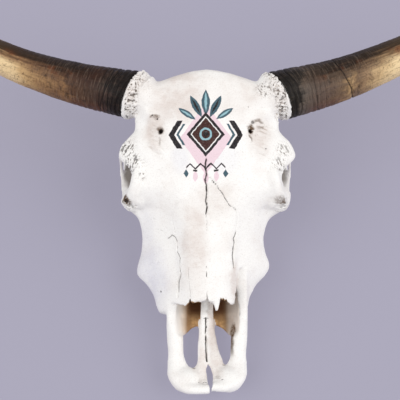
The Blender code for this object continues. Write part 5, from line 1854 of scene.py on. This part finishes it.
def sheath_tree(side):
    """A skin wrapped along a curve: out of its blind socket, round the root and on to the tip."""
    group = sheath_group(side)
    given = group.given
    place = group.split(group.added("GeometryNodeInputPosition"))
    step = place[0] + 0.5
    angle = (place[1] + 0.5) * (2 * math.pi)
    cosine = group.math("COSINE", angle)
    sine = group.math("SINE", angle)
    inside = group.math("LESS_THAN", step, SOCKET_STEPS_SHARE)
    outside = 1.0 - inside
    outer_share = group.math("DIVIDE", step - SOCKET_STEPS_SHARE, 1.0 - SOCKET_STEPS_SHARE, clamp=True)
    outer_share = group.math("POWER", outer_share, ROOT_CROWDING)
    inner_step = 1.0 - group.math("DIVIDE", step, SOCKET_STEPS_SHARE, clamp=True)
    share = inside * (inner_step * SOCKET_LENGTH_SHARE) + outside * outer_share
    position, direction = curve_frame(group, share, cosine, sine)

    outer_radius = radius_along(group, outer_share, HORN_RADII[side])
    distance = outer_share * HORN_LENGTH
    strand = group.joined(cosine * outer_radius, sine * outer_radius, distance)
    spot = group.vector("ADD", strand, group.joined(given("Seed"), given("Seed"), 0.0))
    low = group.vector("DOT_PRODUCT", direction, LOW_SIDE, which="Value")
    not_tip = group.ramp(outer_share, 0.97, 0.80)
    groove = ring_groove(group, spot, distance, low, not_tip)
    relief = flutes_and_lumps(group, spot, not_tip) - groove * given("Ring Height")
    outer_total = outer_radius + relief - group.ramp(distance, LIP_LENGTH, 0.0, 0.0, LIP_DEPTH)
    radius = inside * radius_along(group, inner_step, SOCKET_RADII) + outside * outer_total
    spoke = group.scaled(direction, radius * (1.0 - group.math("GREATER_THAN", step, 0.99999)))

    root_distance = group.vector("DISTANCE", position, given("Root"), which="Value")
    backness = group.vector("DOT_PRODUCT", spoke, given("Rim Back"), which="Value")
    leaning = group.ramp(root_distance, RIM_LEAN_REACH, 0.0) * (given("Rim Lean") * -1.0)
    slide = group.scaled(given("Rim Ahead"), backness * leaning)
    target = group.vector("ADD", group.vector("ADD", position, spoke), slide)

    mesh = group.added("GeometryNodeMeshGrid", {
        "Size X": 1.0, "Size Y": 1.0, "Vertices X": given("Rings"), "Vertices Y": given("Sides") + 1.0})
    for name, kind, value in (("strand", "FLOAT_VECTOR", strand), ("ring", "FLOAT", groove),
                              ("under", "FLOAT", low)):
        stored = group.node("GeometryNodeStoreNamedAttribute", {"Geometry": mesh, "Name": name},
                            data_type=kind, domain="POINT")
        group.feed(next(s for s in stored.inputs if s.name == "Value" and s.enabled), value)
        mesh = Signal(group, stored.outputs[0])
    # The stored values come first, because moving the grid changes what they are read from
    last_steps = {"SetPosition": {"Position": target}, "MergeByDistance": {"Distance": MERGE_DISTANCE},
                  "RealizeInstances": {}, "SetMaterial": {"Material": given("Material")}}
    for kind, inputs in last_steps.items():
        mesh = group.added(f"GeometryNode{kind}", {"Geometry": mesh, **inputs})
    return group.giving(Geometry=mesh)


def rim_frame(side):
    """Where the horn's root is, which way the horn leaves it and which way is back."""
    path = curve_points(HORN_LINES[side], HORN_PATH_STEPS)
    ahead = (path[1] - path[0]).normalized()
    back = (BACK - ahead * ahead.dot(BACK)).normalized()
    root = path[0] - BACK * SNOUT_TO_CENTRE
    return {"Rim Ahead": tuple(ahead), "Rim Back": tuple(back), "Root": tuple(root)}


def horn_curve(side):
    points = curve_points(HORN_LINES[side], HORN_PATH_STEPS)
    curve = bpy.data.curves.new(f"horn_line_{side}", "CURVE")
    curve.dimensions = "3D"
    spline = curve.splines.new("POLY")
    spline.points.add(len(points) - 1)
    for knot, point in zip(spline.points, points):
        knot.co = (point.x, point.y - SNOUT_TO_CENTRE, point.z, 1.0)
    made = bpy.data.objects.new(f"horn_line_{side}", curve)
    bpy.context.scene.collection.objects.link(made)
    return made


def sheath_mesh(side, values):
    made = horn_curve(side)
    wrap = made.modifiers.new("Sheath", "NODES")
    wrap.node_group = sheath_tree(side)
    sockets = {item.name: item.identifier for item in wrap.node_group.interface.items_tree
               if item.in_out == "INPUT"}
    for name, value in values.items():
        wrap[sockets[name]] = value
    mesh = baked_mesh(made)
    bpy.data.objects.remove(made)
    bm = bmesh.new()
    bm.from_mesh(mesh)
    bmesh.ops.recalc_face_normals(bm, faces=bm.faces)
    bm.to_mesh(mesh)
    bm.free()
    return mesh


# Settings that a user may change

def number(name, description, default, lowest=0.0, highest=1.0, **more):
    return bpy.props.FloatProperty(name=name, description=description, default=default, min=lowest,
                                   max=highest, **more)


def length(*told):
    return number(*told, subtype="DISTANCE", unit="LENGTH", precision=5)


def angle(name, description, degrees, highest):
    return number(name, description, math.radians(degrees), 0.0, highest, subtype="ANGLE", unit="ROTATION")


def whole(name, description, default, lowest, highest):
    return bpy.props.IntProperty(name=name, description=description, default=default, min=lowest,
                                 max=highest)


def colour(name, description, *shade):
    return bpy.props.FloatVectorProperty(name=name, description=description, default=tone(*shade), size=4,
                                         min=0.0, max=1.0, subtype="COLOR")


def settings(kind, name, description):
    return bpy.props.PointerProperty(type=kind, name=name, description=description)


class BoneSettings(bpy.types.PropertyGroup):
    skin_voxel: length("Skin voxel", "Grid size of the bone's skin", 0.0023, 0.001, 0.01)
    plain_edge: length("Plain edge", "Longest edge on plain bone", 0.0060, 0.001, 0.02)
    rough_edge: length("Rough edge", "Longest edge on pitted bone and burrs", 0.0012, 0.0005, 0.01)
    fine_edge: length("Fine edge", "Longest edge beside cracks and holes", 0.0008, 0.0003, 0.01)
    burr_height: length("Burr height", "Height of the burr's grains", 0.0016, 0.0, 0.005)
    pit_depth: length("Pit depth", "Depth of the pits near the eyes", 0.0013, 0.0, 0.005)
    kept_share: number("Kept share", "Share of the skin's faces kept", 0.30, 0.02, subtype="FACTOR")
    softening_steps: whole("Softening steps", "Smoothing of the skin", 8, 0, 40)
    refining_passes: whole("Refining passes", "Rounds of splitting edges", 3, 0, 6)
    paint_colour: colour("Paint", "Chalky white of the painted bone", 250, 248, 245)
    # The warm tint is also laid as painted shade on the nasal's right strip
    warm_colour: colour("Warm paint", "Pinkish tan where the paint is thin", 222, 210, 203)
    # The lavender tint is also laid as painted shade on the right jaw
    cool_colour: colour("Cool paint", "Pale lavender patches", 216, 216, 230)
    # Dirt in pores, and painted shade in hollows and ripple troughs
    dirt_and_shade_colour: colour("Dirt", "Dirt in hollows and pits", 150, 126, 108)
    # Painted shade: the grey brown laid in the eye sockets and on the left nose wall
    shade_colour: colour("Shade", "Grey brown of the eye sockets", 100, 89, 78)
    # Brown stains, also painted shadow behind the muzzle's rims
    stain_and_shadow_colour: colour("Stain", "Brown stain in the recesses", 94, 68, 42)
    nose_colour: colour("Nose", "Golden bone just inside the nose", 196, 154, 104)
    # Brown bone deep in the nose, darkened further as painted shade
    deep_nose_brown_and_shade_colour: colour("Deep nose", "Brown bone further inside the nose", 84, 48, 20)
    # Dark of cracks and holes, also painted shadow lines in the creases behind the muzzle's rims
    crack_and_shadow_colour: colour("Crack", "Dark inside of cracks and holes", 38, 28, 24)


class HornSettings(bpy.types.PropertyGroup):
    sides: whole("Sides", "Points round each horn", 120, 12, 300)
    rings: whole("Rings", "Points along each horn", 430, 40, 900)
    ring_pitch: length("Ring pitch", "Distance between growth rings", 0.0090, 0.001, 0.05)
    ring_height: length("Ring height", "Depth of the grooves between rings", 0.0022, 0.0, 0.01)
    ring_reach: length("Ring reach", "How far the rings go from the root", 0.105, 0.0, 0.6)
    flute_height: length("Flute height", "Height of the lengthwise flutes", 0.0009, 0.0, 0.01)
    rim_lean: number("Rim lean", "Slope of the rim at the horn's root", RIM_LEAN, -1.0)
    edge_colour: colour("Upper edge", "Dark band along the top of the horn", 24, 17, 13)
    red_colour: colour("Lower edge", "Reddish patch under the root", 112, 64, 38)
    rust_colour: colour("Rust", "Rusty blotches on the upper side", 112, 58, 30)
    crackle_colour: colour("Crackle", "Fine dark lines in the horn", 66, 42, 28)
    scuff_colour: colour("Scuff", "Pale scuffs across the grain", 168, 146, 128)
    groove_colour: colour("Groove", "Dark line in each groove", 24, 18, 17)


class ToothSettings(bpy.types.PropertyGroup):
    enamel_colour: colour("Enamel", "Worn enamel near the grinding face", 208, 192, 160)
    root_colour: colour("Root", "Darker neck of the tooth", 158, 132, 96)
    tartar_colour: colour("Tartar", "Brown deposit in the flutes", 92, 66, 42)


class StageSettings(bpy.types.PropertyGroup):
    floor_size: length("Floor size", "Side of the floor", 40.0, 1.0, 50.0)
    floor_colour: colour("Floor", "Pale lavender grey of the floor", 171, 168, 186)
    floor_glow: number("Floor glow", "Light that softens the shadows", 0.5, subtype="FACTOR")
    key_strength: number("Key light", "Strength of the main light", 1.62, 0.0, 50.0)
    fill_strength: number("Fill light", "Strength of the light opposite", 1.34, 0.0, 50.0)
    lamp_spread: angle("Lamp spread", "How broad both lamps look", 60, math.pi)
    sky_strength: number("Sky", "Strength of the light from all round", 0.45, 0.0, 10.0)
    camera_elevation: angle("Camera elevation", "Angle above the floor", 64, math.pi / 2)
    camera_distance: length("Camera distance", "From the aimed point", 1.6, 0.2, 20.0)
    view_width: length("View width", "Width of the picture at the aimed point", 0.620, 0.05, 10.0)


class SkullSettings(bpy.types.PropertyGroup):
    bone: settings(BoneSettings, "Bone", "Bone and its paint")
    horn: settings(HornSettings, "Horn", "Both horn sheaths")
    tooth: settings(ToothSettings, "Teeth", "All cheek teeth")
    stage: settings(StageSettings, "Stage", "Floor, light, camera")


# Operators

def shared(make):
    """The node group that the function makes, made only once."""
    return bpy.data.node_groups.get(make.__name__) or make()


class SKULL_OT_cranium(bpy.types.Operator):
    """Build the bone of the skull with its cracks, pits, burrs and painted forehead"""
    bl_idname = "skull.cranium"
    bl_label = "Cranium"

    def execute(self, context):
        bone = context.scene.skull.bone
        paint = bone_paint(bone, shared(surface_grain), shared(speckles))
        finish_piece("painted_cranium", cranium_mesh(bone), ["cranium"], paint)
        return {"FINISHED"}


class SKULL_OT_horns(bpy.types.Operator):
    """Wrap each horn's sheath along its centreline"""
    bl_idname = "skull.horns"
    bl_label = "Horns"

    MEASURES = ("Sides", "Rings", "Ring Pitch", "Ring Height", "Ring Reach", "Flute Height", "Rim Lean")
    # Tone of the fine lengthwise lines, seed of the ring pattern, and where the deep ring is
    LOOKS = {"right": (tone(60, 43, 37), 0.0, 0.036), "left": (tone(76, 64, 55), 0.7, 0.108)}

    def execute(self, context):
        horn = context.scene.skull.horn
        measures = {name: getattr(horn, name.lower().replace(" ", "_")) for name in self.MEASURES}
        for side, (hair_tone, seed, deep_ring) in self.LOOKS.items():
            paint = horn_paint(side, horn, shared(surface_grain), hair_tone)
            mesh = sheath_mesh(side, {**measures, **rim_frame(side), "Seed": seed, "Deep Ring": deep_ring,
                                      "Material": paint})
            finish_piece(f"{side}_horn_sheath", mesh, [f"horn_{side}"], paint)
        return {"FINISHED"}


class SKULL_OT_teeth(bpy.types.Operator):
    """Set all twelve cheek teeth in their sockets"""
    bl_idname = "skull.teeth"
    bl_label = "Teeth"

    def execute(self, context):
        paint = tooth_paint(context.scene.skull.tooth, shared(surface_grain), shared(speckles))
        for name, *place_and_size in tooth_places():
            mesh = tooth_mesh(*place_and_size)
            mesh.transform(TO_CENTRE)
            finish_piece(f"{name}_enamel", mesh, [name], paint)
        return {"FINISHED"}


class SKULL_OT_stage(bpy.types.Operator):
    """Lay the floor, hang the lights and place the camera"""
    bl_idname = "skull.stage"
    bl_label = "Stage"

    AIM = Vector((-0.0108, -0.0535, 0.115))
    FLOOR_LEVEL = -0.0004
    SKY_COLOUR = (1.0, 0.995, 1.0, 1.0)
    # Each lamp shines from here towards the middle
    LAMPS = {"key": (0.90, -0.20, 0.75), "fill": (-0.90, -0.30, 0.90)}

    def execute(self, context):
        stage = context.scene.skull.stage
        self.lay_floor(stage)
        self.light(context, stage)
        self.place_camera(context, stage)
        return {"FINISHED"}

    def lay_floor(self, stage):
        bm = bmesh.new()
        bmesh.ops.create_grid(bm, x_segments=1, y_segments=1, size=stage.floor_size / 2)
        floor = new_object("floor", bm)
        floor.location.z = self.FLOOR_LEVEL
        lit = [part * (1 - stage.floor_glow) for part in stage.floor_colour[:3]]
        floor.data.materials.append(Paint("floor").shaded({
            "Base Color": (*lit, 1.0), "Emission Color": stage.floor_colour,
            "Emission Strength": stage.floor_glow, "Roughness": 1.0, "Specular IOR Level": 0.0}))

    def light(self, context, stage):
        world = bpy.data.worlds.new("studio")
        world.use_nodes = True
        sky = world.node_tree.nodes["Background"]
        sky.inputs["Color"].default_value = self.SKY_COLOUR
        sky.inputs["Strength"].default_value = stage.sky_strength
        context.scene.world = world
        for name, towards in self.LAMPS.items():
            data = bpy.data.lights.new(name, "SUN")
            data.energy = getattr(stage, f"{name}_strength")
            data.angle = stage.lamp_spread
            lamp = bpy.data.objects.new(name, data)
            lamp.location = towards
            lamp.rotation_euler = Vector(towards).to_track_quat("Z", "Y").to_euler()
            context.scene.collection.objects.link(lamp)
        context.scene.view_settings.view_transform = "Standard"

    def place_camera(self, context, stage):
        away = Vector((0, -math.cos(stage.camera_elevation), math.sin(stage.camera_elevation)))
        data = bpy.data.cameras.new("camera")
        data.angle = 2 * math.atan(stage.view_width / 2 / stage.camera_distance)
        camera = bpy.data.objects.new("camera", data)
        camera.location = self.AIM + away * stage.camera_distance
        camera.rotation_euler = (-away).to_track_quat("-Z", "Y").to_euler()
        context.scene.collection.objects.link(camera)
        context.scene.camera = camera


class SKULL_PT_panel(bpy.types.Panel):
    """Sizes, colours and buttons of the painted skull"""
    bl_idname = "SKULL_PT_panel"
    bl_label = "Painted Skull"
    bl_space_type = "VIEW_3D"
    bl_region_type = "UI"
    bl_category = "Skull"

    def draw(self, context):
        skull = context.scene.skull
        groups = (("skull.cranium", skull.bone), ("skull.horns", skull.horn), ("skull.teeth", skull.tooth),
                  ("skull.stage", skull.stage))
        for operator, values in groups:
            box = self.layout.box()
            box.operator(operator)
            for name in values.bl_rna.properties.keys():
                if name not in ("rna_type", "name"):
                    box.prop(values, name)


CLASSES = (BoneSettings, HornSettings, ToothSettings, StageSettings, SkullSettings, SKULL_OT_cranium,
           SKULL_OT_horns, SKULL_OT_teeth, SKULL_OT_stage, SKULL_PT_panel)


def register():
    for kind in CLASSES:
        bpy.utils.register_class(kind)
    bpy.types.Scene.skull = settings(SkullSettings, "Skull", "Settings of the painted skull")


def unregister():
    del bpy.types.Scene.skull
    for kind in reversed(CLASSES):
        bpy.utils.unregister_class(kind)


def main():
    register()
    bpy.ops.skull.cranium()
    bpy.ops.skull.horns()
    bpy.ops.skull.teeth()
    bpy.ops.skull.stage()


if __name__ == "__main__":
    main()
